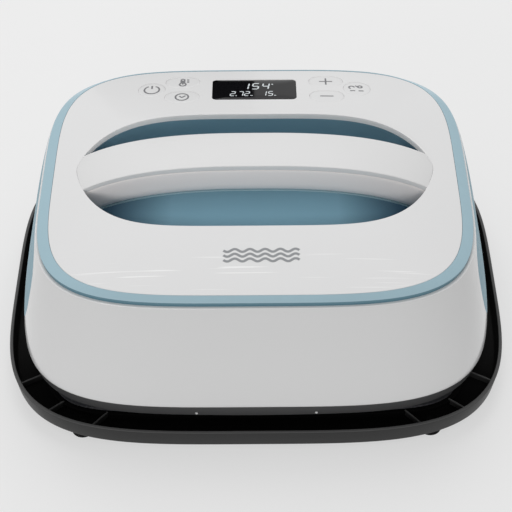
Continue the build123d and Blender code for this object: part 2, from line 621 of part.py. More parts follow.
def arch(x, drop=0.0, extra=0.0):
    """Height of the handle's arch, lowered by drop and by extra more at its ends."""
    t = abs(x) / ARCH_REACH
    return ARCH_TOP - ARCH_RISE * t ** ARCH_POWER - drop - extra * t ** 2


def handle_section(x, inset=0.0):
    """Section across the handle: a gently crowned top, upright sides, and a rounder underside."""
    t = abs(x) / ARCH_REACH
    half_width = HANDLE_WIDTH / 2 + 0.2 * t ** 2 - inset
    middle = arch(x, 10.0)
    up = 12.0 - inset
    down = HANDLE_DEPTH - 10.0 + 2.7 * t ** 2 - inset
    spots = []
    for i in range(28):
        angle = 2 * pi * (i + 0.5) / 28
        power, reach = (6.5, up) if sin(angle) > 0 else (3.2, down)
        y = half_width * copysign(abs(cos(angle)) ** (2 / power), cos(angle))
        z = reach * copysign(abs(sin(angle)) ** (2 / power), sin(angle))
        spots.append(Vector(x, HANDLE_CENTRE_Y + y, middle + z))
    return Wire([Edge.make_spline(spots, periodic=True)])


def handle_bar(reach, inset=0.0):
    places = [-reach, -0.85 * reach, -0.66 * reach, -0.35 * reach, 0.0]
    places = places + [-place for place in reversed(places[:-1])]
    return Solid.make_loft([handle_section(x, inset) for x in places])


def below_arch(drop, extra=0.0):
    """Everything under a copy of the arch curve, as wide as the handle."""
    reach = ARCH_REACH + 8
    places = [reach * (i / 8 - 1) for i in range(17)]
    curve = Edge.make_spline([Vector(x, -50, arch(x, drop, extra)) for x in places])
    ends = [Vector(reach, -50, 60), Vector(-reach, -50, 60)]
    sides = [Edge.make_line(curve @ 1, ends[0]), Edge.make_line(ends[0], ends[1]),
             Edge.make_line(ends[1], curve @ 0)]
    return Solid.extrude(Face(Wire([curve] + sides)), Vector(0, 100, 0))


def handle_screw_places(radius):
    """Bores along X for the handle's screws, through the bowl's end walls."""
    return [Pos(side * 108, y, HANDLE_SCREW_Z) * Rot(0, side * 90, 0) * Solid.make_cylinder(radius, 30)
            for side, y in HANDLE_SCREWS]


def make_handle():
    bar = handle_bar(ARCH_REACH + 6) & well(0.25)
    seam = below_arch(CAP_DEPTH)
    liner_top = below_arch(HANDLE_DEPTH - LINER, 2.7)
    cap = bar - seam
    lower = (bar & below_arch(CAP_DEPTH)) - liner_top
    hollow = handle_bar(98.0, 2.6) & below_arch(CAP_DEPTH - 1) - below_arch(HANDLE_DEPTH - LINER - 2.4, 2.7)
    lower = lower - hollow - handle_screw_places(1.9)
    save("handle_cap", cap)
    save("handle_lower", lower)
    save("handle_liner", bar & liner_top)
    bolts = []
    for side, y in HANDLE_SCREWS:
        seat = Pos(side * HANDLE_BOSS_X, y, HANDLE_SCREW_Z) * Rot(0, side * 90, 0)
        bolts.append(seat * screw(1.8, 20.0, 3.6, 2.4))
    save("handle_screws", *bolts)


def make_finger_bowl():
    outer = well(-BOWL_WALL)
    limit = crown(LIP + 0.15, LIP + 0.15, 60.0)
    bowl = (outer & limit) - well()
    for side, y in HANDLE_SCREWS:
        x0, x1 = sorted((side * 126.0, side * HANDLE_BOSS_X))
        boss = block(x0, y - 5, HANDLE_SCREW_Z - 5, x1, y + 5, HANDLE_SCREW_Z + 5)
        bowl = bowl + (boss - well())
    save("finger_bowl", bowl - handle_screw_places(1.9))


# ---------------------------------------------------------------- everything
make_base_tray()
make_tray_inserts()
make_tray_feet()
make_heat_plate()
make_plate_sensors()
make_standoffs()
make_insulation()
make_heat_shield()
make_skirt()
save("skirt_pins", *pins())
make_lower_shell()
make_cord_gland()
make_trim_ring()
make_top_cover()
make_keys()
make_display()
make_control_board()
make_switches()
make_power_board()
make_ribbon()
make_handle()
make_finger_bowl()
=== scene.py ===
import json
import math

import bmesh
import bpy
import numpy as np
from mathutils import Matrix, Vector


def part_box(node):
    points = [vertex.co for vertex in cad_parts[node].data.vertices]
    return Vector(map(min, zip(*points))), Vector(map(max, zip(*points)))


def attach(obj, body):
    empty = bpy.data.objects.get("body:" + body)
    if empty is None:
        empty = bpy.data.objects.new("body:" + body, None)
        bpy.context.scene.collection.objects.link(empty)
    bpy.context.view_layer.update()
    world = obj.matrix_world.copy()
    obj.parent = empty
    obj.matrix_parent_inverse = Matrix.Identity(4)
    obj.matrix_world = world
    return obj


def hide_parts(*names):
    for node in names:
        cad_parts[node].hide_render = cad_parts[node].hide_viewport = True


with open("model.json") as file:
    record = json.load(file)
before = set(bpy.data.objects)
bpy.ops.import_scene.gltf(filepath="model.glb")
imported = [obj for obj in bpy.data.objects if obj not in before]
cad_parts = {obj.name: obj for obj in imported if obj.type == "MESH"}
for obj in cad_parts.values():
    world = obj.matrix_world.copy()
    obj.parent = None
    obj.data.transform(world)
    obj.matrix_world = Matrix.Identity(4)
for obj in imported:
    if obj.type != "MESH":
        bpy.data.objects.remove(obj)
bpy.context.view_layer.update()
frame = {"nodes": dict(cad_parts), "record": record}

SCENE = bpy.context.scene
MM = 0.001
WHITE = (1.0, 1.0, 1.0, 1.0)


# ---------------- camera, light and floor
TARGET = Vector((0.0, -0.0174, 0.0615))
CAMERA_ELEVATION = math.radians(43.65)
CAMERA_DISTANCE = 1.1834
CAMERA_ROLL = math.radians(0.38)
CAMERA_LENS = 108.95
CAMERA_SHIFT = 0.0012
SENSOR_WIDTH = 36.0
WORLD_LIGHT = 0.45
FLOOR_REACH = 4.0
CARD_LOW, CARD_HIGH, CARD_BEHIND, CARD_WIDTH = 0.14, 0.48, 0.6, 0.24


def make_camera():
    data = bpy.data.cameras.new("camera")
    camera = bpy.data.objects.new("camera", data)
    SCENE.collection.objects.link(camera)
    back = Vector((0, -math.cos(CAMERA_ELEVATION), math.sin(CAMERA_ELEVATION)))
    camera.location = TARGET + back * CAMERA_DISTANCE
    aim = (TARGET - camera.location).to_track_quat("-Z", "Y").to_matrix()
    camera.rotation_euler = (aim @ Matrix.Rotation(-CAMERA_ROLL, 3, "Z")).to_euler()
    data.sensor_width = SENSOR_WIDTH
    data.lens = CAMERA_LENS
    data.shift_x = CAMERA_SHIFT
    SCENE.camera = camera


def area_light(name, place, width, depth, power, aim):
    data = bpy.data.lights.new(name, "AREA")
    data.shape = "RECTANGLE"
    data.size = width
    data.size_y = depth
    data.energy = power
    light = bpy.data.objects.new(name, data)
    SCENE.collection.objects.link(light)
    light.location = place
    light.rotation_euler = (Vector(aim) - Vector(place)).to_track_quat("-Z", "Y").to_euler()
    return light


def make_studio():
    """Soft light all round, a broad key from behind and above, a low front light, and a pale floor."""
    SCENE.view_settings.view_transform = "Standard"
    world = bpy.data.worlds.new("studio")
    SCENE.world = world
    world.use_nodes = True
    background = world.node_tree.nodes["Background"]
    background.inputs["Color"].default_value = WHITE
    background.inputs["Strength"].default_value = WORLD_LIGHT
    key = area_light("key_light", place=(-0.05, 0.85, 1.50), width=1.3, depth=1.0, power=15.6,
                     aim=(0, 0, 0.05))
    key.visible_glossy = False
    area_light("front_light", place=(-0.65, -1.70, 0.80), width=1.2, depth=0.5, power=8.0,
               aim=(0, 0, 0.13))
    corners = [(x * FLOOR_REACH, y * FLOOR_REACH, 0) for x, y in ((-1, -1), (1, -1), (1, 1), (-1, 1))]
    stage_panel("floor", corners, plain_floor())
    mirrored_card("dark_card", -CARD_WIDTH, 0.0, glow=0.0)
    mirrored_card("light_card", 0.0, CARD_WIDTH, glow=0.33)


def mirrored_card(name, left, right, glow):
    """Card standing behind the press, which only the display's glass mirrors."""
    corners = [(left, CARD_BEHIND, CARD_LOW), (right, CARD_BEHIND, CARD_LOW),
               (right, CARD_BEHIND, CARD_HIGH), (left, CARD_BEHIND, CARD_HIGH)]
    card = stage_panel(name, corners, card_material(name, glow))
    card.visible_camera = False
    card.visible_diffuse = False
    card.visible_shadow = False


def stage_panel(name, corners, material):
    mesh = bpy.data.meshes.new(name)
    mesh.from_pydata(corners, [], [(0, 1, 2, 3)])
    panel = bpy.data.objects.new(name, mesh)
    SCENE.collection.objects.link(panel)
    mesh.materials.append(material)
    return panel


# ---------------- materials
MATERIALS = {}


def new_material(name):
    """New material, kept by its name, with its node tree and its shader."""
    material = bpy.data.materials.new(name)
    MATERIALS[name] = material
    material.use_nodes = True
    tree = material.node_tree
    return material, tree, tree.nodes["Principled BSDF"]


def place_on(tree, by="Object"):
    """The place or the direction of the point being shaded."""
    return tree.nodes.new("ShaderNodeTexCoord").outputs[by]


def wire(shader, name, value):
    shader.id_data.links.new(value, shader.inputs[name])


def settle(shader, values):
    for name, value in values.items():
        shader.inputs[name].default_value = value


def object_noise(tree, scale, detail=3.0, stretch=(1, 1, 1)):
    """Noise in the object's own metres, as the output socket of its factor."""
    mapping = tree.nodes.new("ShaderNodeMapping")
    mapping.inputs["Scale"].default_value = stretch
    noise = tree.nodes.new("ShaderNodeTexNoise")
    noise.inputs["Scale"].default_value = scale
    noise.inputs["Detail"].default_value = detail
    tree.links.new(place_on(tree), mapping.inputs["Vector"])
    tree.links.new(mapping.outputs["Vector"], noise.inputs["Vector"])
    return noise.outputs["Fac"]


def remap(tree, value, low, high, start=0.3, end=0.7):
    node = tree.nodes.new("ShaderNodeMapRange")
    node.inputs["From Min"].default_value = start
    node.inputs["From Max"].default_value = end
    node.inputs["To Min"].default_value = low
    node.inputs["To Max"].default_value = high
    tree.links.new(value, node.inputs["Value"])
    return node.outputs["Result"]


def mixed(tree, factor, first, second, mode="MIX"):
    """Mix of two colours; the factor and each colour may be a socket or a plain value."""
    mix = tree.nodes.new("ShaderNodeMix")
    mix.data_type = "RGBA"
    mix.blend_type = mode
    for name, value in (("Factor", factor), ("A", first), ("B", second)):
        if isinstance(value, bpy.types.NodeSocket):
            tree.links.new(value, mix.inputs[name])
        else:
            mix.inputs[name].default_value = value if name == "Factor" else (*value, 1)
    return mix.outputs["Result"]


def multiplied(tree, first, second):
    node = tree.nodes.new("ShaderNodeMath")
    node.operation = "MULTIPLY"
    tree.links.new(first, node.inputs[0])
    tree.links.new(second, node.inputs[1])
    return node.outputs["Value"]


def split(tree, vector):
    """The X, Y and Z parts of a vector socket."""
    parts = tree.nodes.new("ShaderNodeSeparateXYZ")
    tree.links.new(vector, parts.inputs["Vector"])
    return parts.outputs


def bump(tree, shader, height, strength, distance):
    node = tree.nodes.new("ShaderNodeBump")
    node.inputs["Strength"].default_value = strength
    node.inputs["Distance"].default_value = distance
    tree.links.new(height, node.inputs["Height"])
    wire(shader, "Normal", node.outputs["Normal"])


def shade(colour, factor):
    return tuple(channel * factor for channel in colour)


def grey(value):
    return (value, value, value)


def plastic(name, colour, rough, spread=0.05, grain=1400.0, relief=0.05, coat=0.0, tone=0.03):
    """Moulded plastic: faint mottling, uneven gloss, and a fine surface grain."""
    material, tree, shader = new_material(name)
    mottle = object_noise(tree, 22.0)
    wire(shader, "Base Color", mixed(tree, mottle, shade(colour, 1 - tone), shade(colour, 1 + tone)))
    smudge = object_noise(tree, 38.0, 5.0)
    gloss = remap(tree, smudge, rough - spread, rough + spread, 0.1, 0.9)
    wire(shader, "Roughness", gloss)
    settle(shader, {"IOR": 1.48, "Coat Weight": coat, "Coat Roughness": 0.06})
    bump(tree, shader, object_noise(tree, grain, 2.0), relief, 0.0002)
    return material


def paint_light_and_shade(material, along, across, axis="Z", start=0.25, end=0.6, by="Normal", front_only=False):
    """Paints light and shade into a plastic's colour by the way it faces, or by place: one tint far
    along an axis, another near.
    """
    tree = material.node_tree
    shader = tree.nodes["Principled BSDF"]
    plain = shader.inputs["Base Color"].links[0].from_socket
    parts = split(tree, place_on(tree, by))
    size = tree.nodes.new("ShaderNodeMath")
    size.operation = "ABSOLUTE"
    tree.links.new(parts[axis], size.inputs[0])
    amount = remap(tree, size.outputs["Value"], 0.0, 1.0, start, end)
    if front_only:
        amount = multiplied(tree, amount, remap(tree, parts["Y"], 1.0, 0.35, 0.028, 0.042))
    tint = mixed(tree, amount, across, along)
    wire(shader, "Base Color", mixed(tree, 1.0, plain, tint, "MULTIPLY"))
    return material


def painted_streak_reflections(material):
    """Paints the fine bright streaks that run across the front of the cover: painted reflections of
    bright strips.
    """
    tree = material.node_tree
    shader = tree.nodes["Principled BSDF"]
    plain = shader.inputs["Base Color"].links[0].from_socket
    streak = remap(tree, object_noise(tree, 1.0, 1.0, (14.0, 420.0, 1.0)), 0.0, 1.0, 0.66, 0.74)
    front = remap(tree, split(tree, place_on(tree))["Y"], 1.0, 0.0, -0.105, -0.080)
    bright = mixed(tree, multiplied(tree, streak, front), plain, (0.93, 0.93, 0.93))
    wire(shader, "Base Color", bright)
    return material


def metal(name, colour, rough, stretch=(1, 1, 1), grain=900.0):
    """Metal with drawn or rolled streaks along one direction."""
    material, tree, shader = new_material(name)
    streak = object_noise(tree, grain, 3.0, stretch)
    wire(shader, "Base Color", mixed(tree, streak, shade(colour, 0.85), shade(colour, 1.1)))
    wire(shader, "Roughness", remap(tree, streak, rough - 0.08, rough + 0.08))
    shader.inputs["Metallic"].default_value = 1.0
    bump(tree, shader, streak, 0.15, 0.0001)
    return material


def speckled_coating(name, colour):
    """Dark non-stick coating with fine light specks."""
    material, tree, shader = new_material(name)
    cells = tree.nodes.new("ShaderNodeTexVoronoi")
    cells.inputs["Scale"].default_value = 520.0
    tree.links.new(place_on(tree), cells.inputs["Vector"])
    speck = remap(tree, cells.outputs["Distance"], 1.0, 0.0, 0.10, 0.18)
    wire(shader, "Base Color", mixed(tree, speck, colour, shade(colour, 4.0)))
    wire(shader, "Roughness", remap(tree, object_noise(tree, 60.0), 0.3, 0.45))
    bump(tree, shader, object_noise(tree, 1800.0), 0.2, 0.0001)
    return material


def woven(name, colour, pitch, relief):
    """Cloth-faced surface: two crossed wave textures at one thread pitch."""
    material, tree, shader = new_material(name)
    place = place_on(tree)
    waves = []
    for direction in ("X", "Y"):
        wave = tree.nodes.new("ShaderNodeTexWave")
        wave.bands_direction = direction
        wave.inputs["Scale"].default_value = 0.314 / pitch
        wave.inputs["Distortion"].default_value = 0.6
        tree.links.new(place, wave.inputs["Vector"])
        waves.append(wave.outputs["Fac"])
    thread = multiplied(tree, *waves)
    wire(shader, "Base Color", mixed(tree, thread, shade(colour, 0.7), shade(colour, 1.25)))
    wire(shader, "Roughness", remap(tree, object_noise(tree, 90.0), 0.7, 0.9))
    bump(tree, shader, thread, relief, 0.0004)
    return material


def solder_resist(name, colour):
    """Circuit board: lacquer over a fine grid of tracks."""
    material, tree, shader = new_material(name)
    brick = tree.nodes.new("ShaderNodeTexBrick")
    brick.inputs["Scale"].default_value = 160.0
    brick.inputs["Mortar Size"].default_value = 0.03
    brick.inputs["Color1"].default_value = (*colour, 1)
    brick.inputs["Color2"].default_value = (*shade(colour, 0.85), 1)
    brick.inputs["Mortar"].default_value = (*shade(colour, 2.2), 1)
    tree.links.new(place_on(tree), brick.inputs["Vector"])
    wire(shader, "Base Color", brick.outputs["Color"])
    wire(shader, "Roughness", remap(tree, object_noise(tree, 120.0), 0.3, 0.42))
    return material


def plain_floor():
    material, tree, shader = new_material("pale_floor")
    tone = object_noise(tree, 1.5)
    wire(shader, "Base Color", mixed(tree, tone, (0.30, 0.30, 0.30), (0.31, 0.31, 0.31)))
    settle(shader, {"Roughness": 0.9, "Specular IOR Level": 0.1, "Emission Color": WHITE,
                    "Emission Strength": 0.54})
    return material


def card_material(name, glow):
    """Studio card: black velvet, or a lit white panel."""
    material, _, shader = new_material(name)
    settle(shader, {"Base Color": (0, 0, 0, 1), "Roughness": 1.0, "Specular IOR Level": 0.0,
                    "Emission Color": WHITE, "Emission Strength": glow})
    return material


def lit_segment(name):
    """Display segments: white light from behind a dark window."""
    material, tree, shader = new_material(name)
    glow = object_noise(tree, 300.0)
    wire(shader, "Emission Color", mixed(tree, glow, (0.55, 0.60, 0.62), (0.80, 0.84, 0.86)))
    settle(shader, {"Base Color": (0.02, 0.02, 0.02, 1), "Emission Strength": 0.95, "Roughness": 0.15})
    return material


def make_plastics():
    """Each line: colour, roughness, its spread, the grain's fineness and relief, coat and tone."""
    plastic("tray_plastic", (0.018, 0.018, 0.019), 0.42, 0.06, 1500.0, 0.25)
    plastic("foot_rubber", grey(0.006), 0.75, 0.08, 900.0, 0.35)
    plastic("dark_plastic", (0.052, 0.052, 0.053), 0.42, 0.06, 1500.0, 0.2)
    # Tray moulding: up-facing faces are painted lighter and side faces darker, a painted highlight on
    # the rim and painted shade on the walls.
    rim = plastic("rim_plastic", grey(0.050), 0.42, 0.06, 1500.0, 0.2)
    paint_light_and_shade(rim, grey(1.9), grey(0.45))
    # The channel is painted far darker than the tray's own plastic, and less dark along the sides:
    # painted shade under the body.
    channel = plastic("channel_painted_shade", grey(0.003), 0.75, 0.08, 1500.0, 0.3)
    paint_light_and_shade(channel, grey(1.0), grey(5.5), "Y", 0.04, 0.11, "Object")
    # The body's white is set darker than the cover's same white, painting shade on its front, and
    # up-facing faces such as the shoulder fillet are painted lighter: painted highlight.
    shell = plastic("white_shell", grey(0.71), 0.24, 0.025, 1100.0, 0.02, 0.5, 0.006)
    paint_light_and_shade(shell, grey(1.16), grey(1.0), "Z", 0.4, 0.7)
    cover = plastic("white_cover", (0.79, 0.79, 0.792), 0.22, 0.025, 1100.0, 0.02, 0.4, 0.006)
    # Side-facing faces of the cover, such as the opening's lip, are painted lighter: painted light. The
    # streaks across its front are painted reflections.
    paint_light_and_shade(painted_streak_reflections(cover), grey(1.0), (1.22, 1.20, 1.18))
    plastic("white_handle", grey(0.78), 0.30, 0.02, 1100.0, 0.03, 0.2, 0.006)
    # The lower grip's white is a brighter, warmer copy of the handle's white: painted light on its
    # shaded front face, cancelling the bowl's blue bounce.
    plastic("grip_white", (0.945, 0.90, 0.885), 0.40, 0.03, 1100.0, 0.05, 0.0, 0.006)
    plastic("inlay_blue", (0.275, 0.43, 0.50), 0.55, 0.05, 1200.0, 0.08, 0.0, 0.02)
    plastic("blue_trim", (0.33, 0.48, 0.535), 0.32, 0.05, 1200.0, 0.05, 0.2, 0.02)
    # The ring's side-facing faces are painted dark teal: painted shade in the undercut below its edge.
    ring = plastic("ring_blue", (0.38, 0.545, 0.62), 0.30, 0.05, 1200.0, 0.04, 0.2, 0.02)
    paint_light_and_shade(ring, grey(1.0), (0.24, 0.38, 0.43))
    # The bowl's floor is painted lighter (painted light), and its ends toward the front are painted dark
    # blue: painted shade under the handle's ends.
    bowl = plastic("blue_bowl", (0.178, 0.32, 0.395), 0.50, 0.05, 1200.0, 0.06, 0.0, 0.03)
    paint_light_and_shade(bowl, grey(1.32), (1.02, 1.04, 1.06))
    paint_light_and_shade(bowl, (0.13, 0.20, 0.26), grey(1.0), "X", 0.064, 0.110, "Object", front_only=True)
    plastic("display_glass", (0.006, 0.006, 0.007), 0.04, 0.015, 500.0, 0.0, 1.0)
    plastic("key_caps", (0.78, 0.78, 0.782), 0.22, 0.04, 1100.0, 0.02, 0.5, 0.006)
    plastic("lcd_frame", grey(0.10), 0.5)
    plastic("black_parts", grey(0.03), 0.45, 0.06, 900.0, 0.2)
    plastic("relay_case", (0.06, 0.11, 0.20), 0.4)
    plastic("ribbon_plastic", (0.55, 0.56, 0.57), 0.45)
    plastic("gland_rubber", grey(0.02), 0.6, 0.08, 900.0, 0.3)
    plastic("printed_ink", (0.30, 0.31, 0.32), 0.45, 0.04, 1200.0, 0.03, 0.0, 0.05)
    plastic("icon_ink", (0.21, 0.21, 0.22), 0.45, 0.04, 1200.0, 0.03, 0.0, 0.05)
    dull = {"channel_painted_shade": 0.08, "foot_rubber": 0.08, "rim_plastic": 0.22, "inlay_blue": 0.25}
    for name, specular in dull.items():
        shader = MATERIALS[name].node_tree.nodes["Principled BSDF"]
        shader.inputs["Specular IOR Level"].default_value = specular


def make_other_materials():
    woven("mat_silicone", (0.10, 0.10, 0.11), 0.0011, 0.5)
    woven("blanket", (0.72, 0.70, 0.64), 0.0020, 0.9)
    speckled_coating("plate_coating", (0.035, 0.036, 0.04))
    solder_resist("circuit_board", (0.02, 0.13, 0.055))
    lit_segment("display_light")
    metal("shield_metal", (0.72, 0.72, 0.73), 0.32, (1, 12, 1))
    metal("element_steel", (0.42, 0.40, 0.38), 0.38)
    metal("steel_parts", (0.66, 0.66, 0.67), 0.25)
    # The pins' steel is set much brighter than the other steel, so the pins read as bright glints:
    # painted glint.
    metal("pin_steel", grey(0.95), 0.65)
    metal("brass_parts", (0.72, 0.55, 0.28), 0.28)
    metal("cell_metal", (0.62, 0.63, 0.66), 0.3)
    metal("transformer_core", (0.25, 0.22, 0.16), 0.5, (1, 1, 30))
    metal("sink_metal", (0.30, 0.31, 0.32), 0.4, (1, 1, 10))


NODE_SLOT = {part["node"]: part["material_slot"] for part in frame["record"]["subparts"]}


def dress_cad_nodes():
    for name, node in frame["nodes"].items():
        look = "pin_steel" if name == "skirt_pins" else NODE_SLOT[name]
        node.data.materials.clear()
        node.data.materials.append(MATERIALS[look])


# ---------------- mesh building, in millimetres
def turns(count):
    """Evenly spaced angles once round."""
    return np.linspace(0, 2 * np.pi, count, endpoint=False)


ROUND = 384
COS, SIN = np.cos(turns(ROUND)), np.sin(turns(ROUND))
SHARP = 32.0


def node_box(name):
    low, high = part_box(name)
    return np.array(low) / MM, np.array(high) / MM


def loop(half_x, half_y, power, z, centre_y=0.0):
    """Superellipse sampled in even directions; every value may vary round the loop."""
    radius = (np.abs(COS / half_x) ** power + np.abs(SIN / half_y) ** power) ** (-1 / power)
    return np.stack([radius * COS, radius * SIN + centre_y, np.broadcast_to(z, ROUND)], 1)


def skin(loops, closed=False, cap_first=False, cap_last=False):
    """Vertices and faces of quads between loops of equal length."""
    count = len(loops[0])
    vertices = np.concatenate(loops)
    faces = []
    rows = len(loops) if closed else len(loops) - 1
    for row in range(rows):
        a, b = row * count, (row + 1) % len(loops) * count
        for i in range(count):
            j = (i + 1) % count
            faces.append((a + i, a + j, b + j, b + i))
    if cap_first:
        faces.append(tuple(range(count))[::-1])
    if cap_last:
        last = (len(loops) - 1) * count
        faces.append(tuple(range(last, last + count)))
    return vertices, faces


def capped(loops):
    """Solid with flat ends."""
    return skin(loops, cap_first=True, cap_last=True)


def join_parts(parts):
    """One mesh from several, with its faces in the same order."""
    vertices, faces, offset = [], [], 0
    for part_vertices, part_faces in parts:
        vertices.append(part_vertices)
        faces += [tuple(index + offset for index in face) for face in part_faces]
        offset += len(part_vertices)
    return np.concatenate(vertices), faces


def piece(name, shape, material, body, sharp=SHARP):
    """A smooth-shaded mesh object from millimetre vertices, facing outward and riding on a body."""
    vertices, faces = shape
    mesh = bpy.data.meshes.new(name)
    mesh.from_pydata((np.asarray(vertices) * MM).tolist(), [], faces)
    mesh.validate()
    obj = bpy.data.objects.new(name, mesh)
    SCENE.collection.objects.link(obj)
    turn_outward(mesh)
    mesh.polygons.foreach_set("use_smooth", [True] * len(mesh.polygons))
    mesh.set_sharp_from_angle(angle=math.radians(sharp))
    mesh.materials.append(MATERIALS[material])
    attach(obj, body)
    return obj


def turn_outward(mesh):
    work = bmesh.new()
    work.from_mesh(mesh)
    bmesh.ops.recalc_face_normals(work, faces=work.faces)
    work.to_mesh(mesh)
    work.free()


def rounded(corners, steps=5):
    """Profile through (offset, z, radius) corners, each corner turned into a curve."""
    path = []
    count = len(corners)
    for i, (u, z, radius) in enumerate(corners):
        here = np.array([u, z], float)
        if radius <= 0 or i in (0, count - 1):
            path.append(here)
            continue
        before = np.array(corners[i - 1][:2], float) - here
        after = np.array(corners[i + 1][:2], float) - here
        before_length, after_length = np.linalg.norm(before), np.linalg.norm(after)
        before, after = before / before_length, after / after_length
        half_angle = math.acos(np.clip(before @ after, -1, 1)) / 2
        reach = min(radius / math.tan(half_angle), 0.49 * before_length, 0.49 * after_length)
        start, end = here + before * reach, here + after * reach
        for step in range(steps + 1):
            t = step / steps
            path.append((1 - t) ** 2 * start + 2 * t * (1 - t) * here + t * t * end)
    return path


def filled(path, spacing):
    """The same profile with extra points on its long runs."""
    dense = [path[0]]
    for here, there in zip(path, path[1:]):
        parts = max(1, int(np.linalg.norm(there - here) / spacing))
        dense += [here + (there - here) * (i + 1) / parts for i in range(parts)]
    return dense


# ---------------- shapes shared by the pieces
TRAY_LOW, TRAY_HIGH = node_box("base_tray")
TRAY_X, TRAY_Y, TRAY_POWER = 188.4, 158.5, 3.94
TRAY_WALL, TRAY_DRAFT = 2.4, 2.2
TRAY_FLOOR, TRAY_TOP = TRAY_LOW[2], TRAY_HIGH[2]
TRAY_FLOOR_TOP = TRAY_FLOOR + 3.0
KERB_X, KERB_Y, KERB_POWER = 158.4, 133.0, 7.0
KERB_WIDTH, KERB_HEIGHT = 3.1, 3.6
RIB_ANGLES = (30, 40, 50)

SHELL_LOW, SHELL_HIGH = node_box("lower_shell")
SHELL_X, SHELL_Y, SHELL_POWER = 175.0, 149.5, 4.05
SHELL_BOTTOM, SHOULDER_Z = SHELL_LOW[2], SHELL_HIGH[2]
SHOULDER_X, SHOULDER_Y, SHOULDER_POWER = 159.2, 132.6, 4.17
FLARE_POWER = 1.55

COVER_X, COVER_Y, COVER_POWER = 149.4, 126.8, 4.28
RING_X, RING_Y, RING_POWER = 157.7, 130.9, 4.17
COVER_Z = node_box("trim_ring")[1][2]
RING_EDGE_Z = COVER_Z - 3.6
COVER_SEAT = node_box("top_cover")[0][2]
COVER_RISE = 13.0

OPENING_X, OPENING_FRONT, OPENING_BACK = 132.3, 69.9, 55.0
OPENING_AXIS_Y = 3.5
OPENING_END_POWER, OPENING_SIDE_POWER = 4.75, 1.42
LIP = 4.8
BOWL_FLOOR = 83.0
# Finger bowl: half length and reach to front and back, at heights from the floor to the lip
WELL_Z = np.array([83.0, 84.4, 87.0, 97.0, 114.0, 133.0])
WELL_X = np.array([104.0, 109.5, 114.0, 122.0, 128.5, 132.3])
WELL_FRONT = np.array([45.5, 50.5, 54.5, 61.5, 67.0, 69.9])
WELL_BACK = np.array([36.5, 41.0, 45.0, 50.5, 53.8, 55.0])

BOWL_WALL = 2.2
HANDLE_WIDTH, HANDLE_CENTRE_Y = 38.2, -1.1
PANEL_X, PANEL_Y = 0.0, 95.4


def flare_sizes(z):
    """Half sizes and power of the body's outline at a height."""
    t = np.clip((SHOULDER_Z - z) / (SHOULDER_Z - SHELL_BOTTOM), 0, 1)
    f = 1 - (1 - t) ** FLARE_POWER
    return (SHOULDER_X + (SHELL_X - SHOULDER_X) * f, SHOULDER_Y + (SHELL_Y - SHOULDER_Y) * f,
            SHOULDER_POWER + (SHELL_POWER - SHOULDER_POWER) * f)


def flare_x(y, z):
    """Half length of the body at a place on its side."""
    half_x, half_y, power = flare_sizes(z)
    return half_x * (1 - np.abs(y / half_y) ** power) ** (1 / power)


def crown_height(x, y):
    """Height of the cover's shallow dome."""
    rho = (np.abs(x / COVER_X) ** COVER_POWER + np.abs(y / COVER_Y) ** COVER_POWER) ** (1 / COVER_POWER)
    return COVER_Z + COVER_RISE * (1 - rho ** 2)


def crown_slopes(x, y, step):
    slope_x = (crown_height(x + step, y) - crown_height(x - step, y)) / (2 * step)
    slope_y = (crown_height(x, y + step) - crown_height(x, y - step)) / (2 * step)
    return slope_x, slope_y


def crown_axes(x, y):
    """Point on the cover, its two surface directions and its outward normal."""
    slope_x, slope_y = crown_slopes(x, y, 0.5)
    normal = np.array([-slope_x, -slope_y, 1.0])
    normal /= np.linalg.norm(normal)
    across = np.array([1.0, 0.0, slope_x])
    across /= np.linalg.norm(across)
    return np.array([x, y, crown_height(x, y)]), across, np.cross(normal, across), normal


def on_crown(place, points, lift=0.0):
    """Local (across, back) points of a panel place, laid on the cover's surface and lifted."""
    origin, across, back, normal = place
    points = np.asarray(points, float)
    spots = origin + points[:, :1] * across + points[:, 1:2] * back
    for _ in range(3):
        short = crown_height(spots[:, 0], spots[:, 1]) - spots[:, 2]
        spots = spots + (short * normal[2])[:, None] * normal
    return spots + normal * lift


def oval(half_x, front, back, z):
    """Long opening outline with drawn-out ends, sampled in even directions round its long axis."""
    half_y = np.where(SIN > 0, back, front)
    low, high = np.zeros(ROUND), np.full(ROUND, 200.0)
    for _ in range(40):
        radius = (low + high) / 2
        inside = (np.abs(radius * COS / half_x) ** OPENING_END_POWER
                  + np.abs(radius * SIN / half_y) ** OPENING_SIDE_POWER) < 1
        low = np.where(inside, radius, low)
        high = np.where(inside, high, radius)
    return np.stack([low * COS, low * SIN + OPENING_AXIS_Y, np.broadcast_to(z, ROUND)], 1)


def well_ring(z, grow=0.0):
    """The finger bowl's outline at one height."""
    return oval(np.interp(z, WELL_Z, WELL_X) + grow, np.interp(z, WELL_Z, WELL_FRONT) + grow,
                np.interp(z, WELL_Z, WELL_BACK) + grow, z)


def well_end(y, z):
    """How far along X the finger bowl reaches at a place across it."""
    half_x = np.interp(z, WELL_Z, WELL_X)
    half_y = np.where(y > OPENING_AXIS_Y, np.interp(z, WELL_Z, WELL_BACK),
                      np.interp(z, WELL_Z, WELL_FRONT))
    inside = np.clip(1 - np.abs((y - OPENING_AXIS_Y) / half_y) ** OPENING_SIDE_POWER, 1e-4, 1)
    return half_x * inside ** (1 / OPENING_END_POWER)


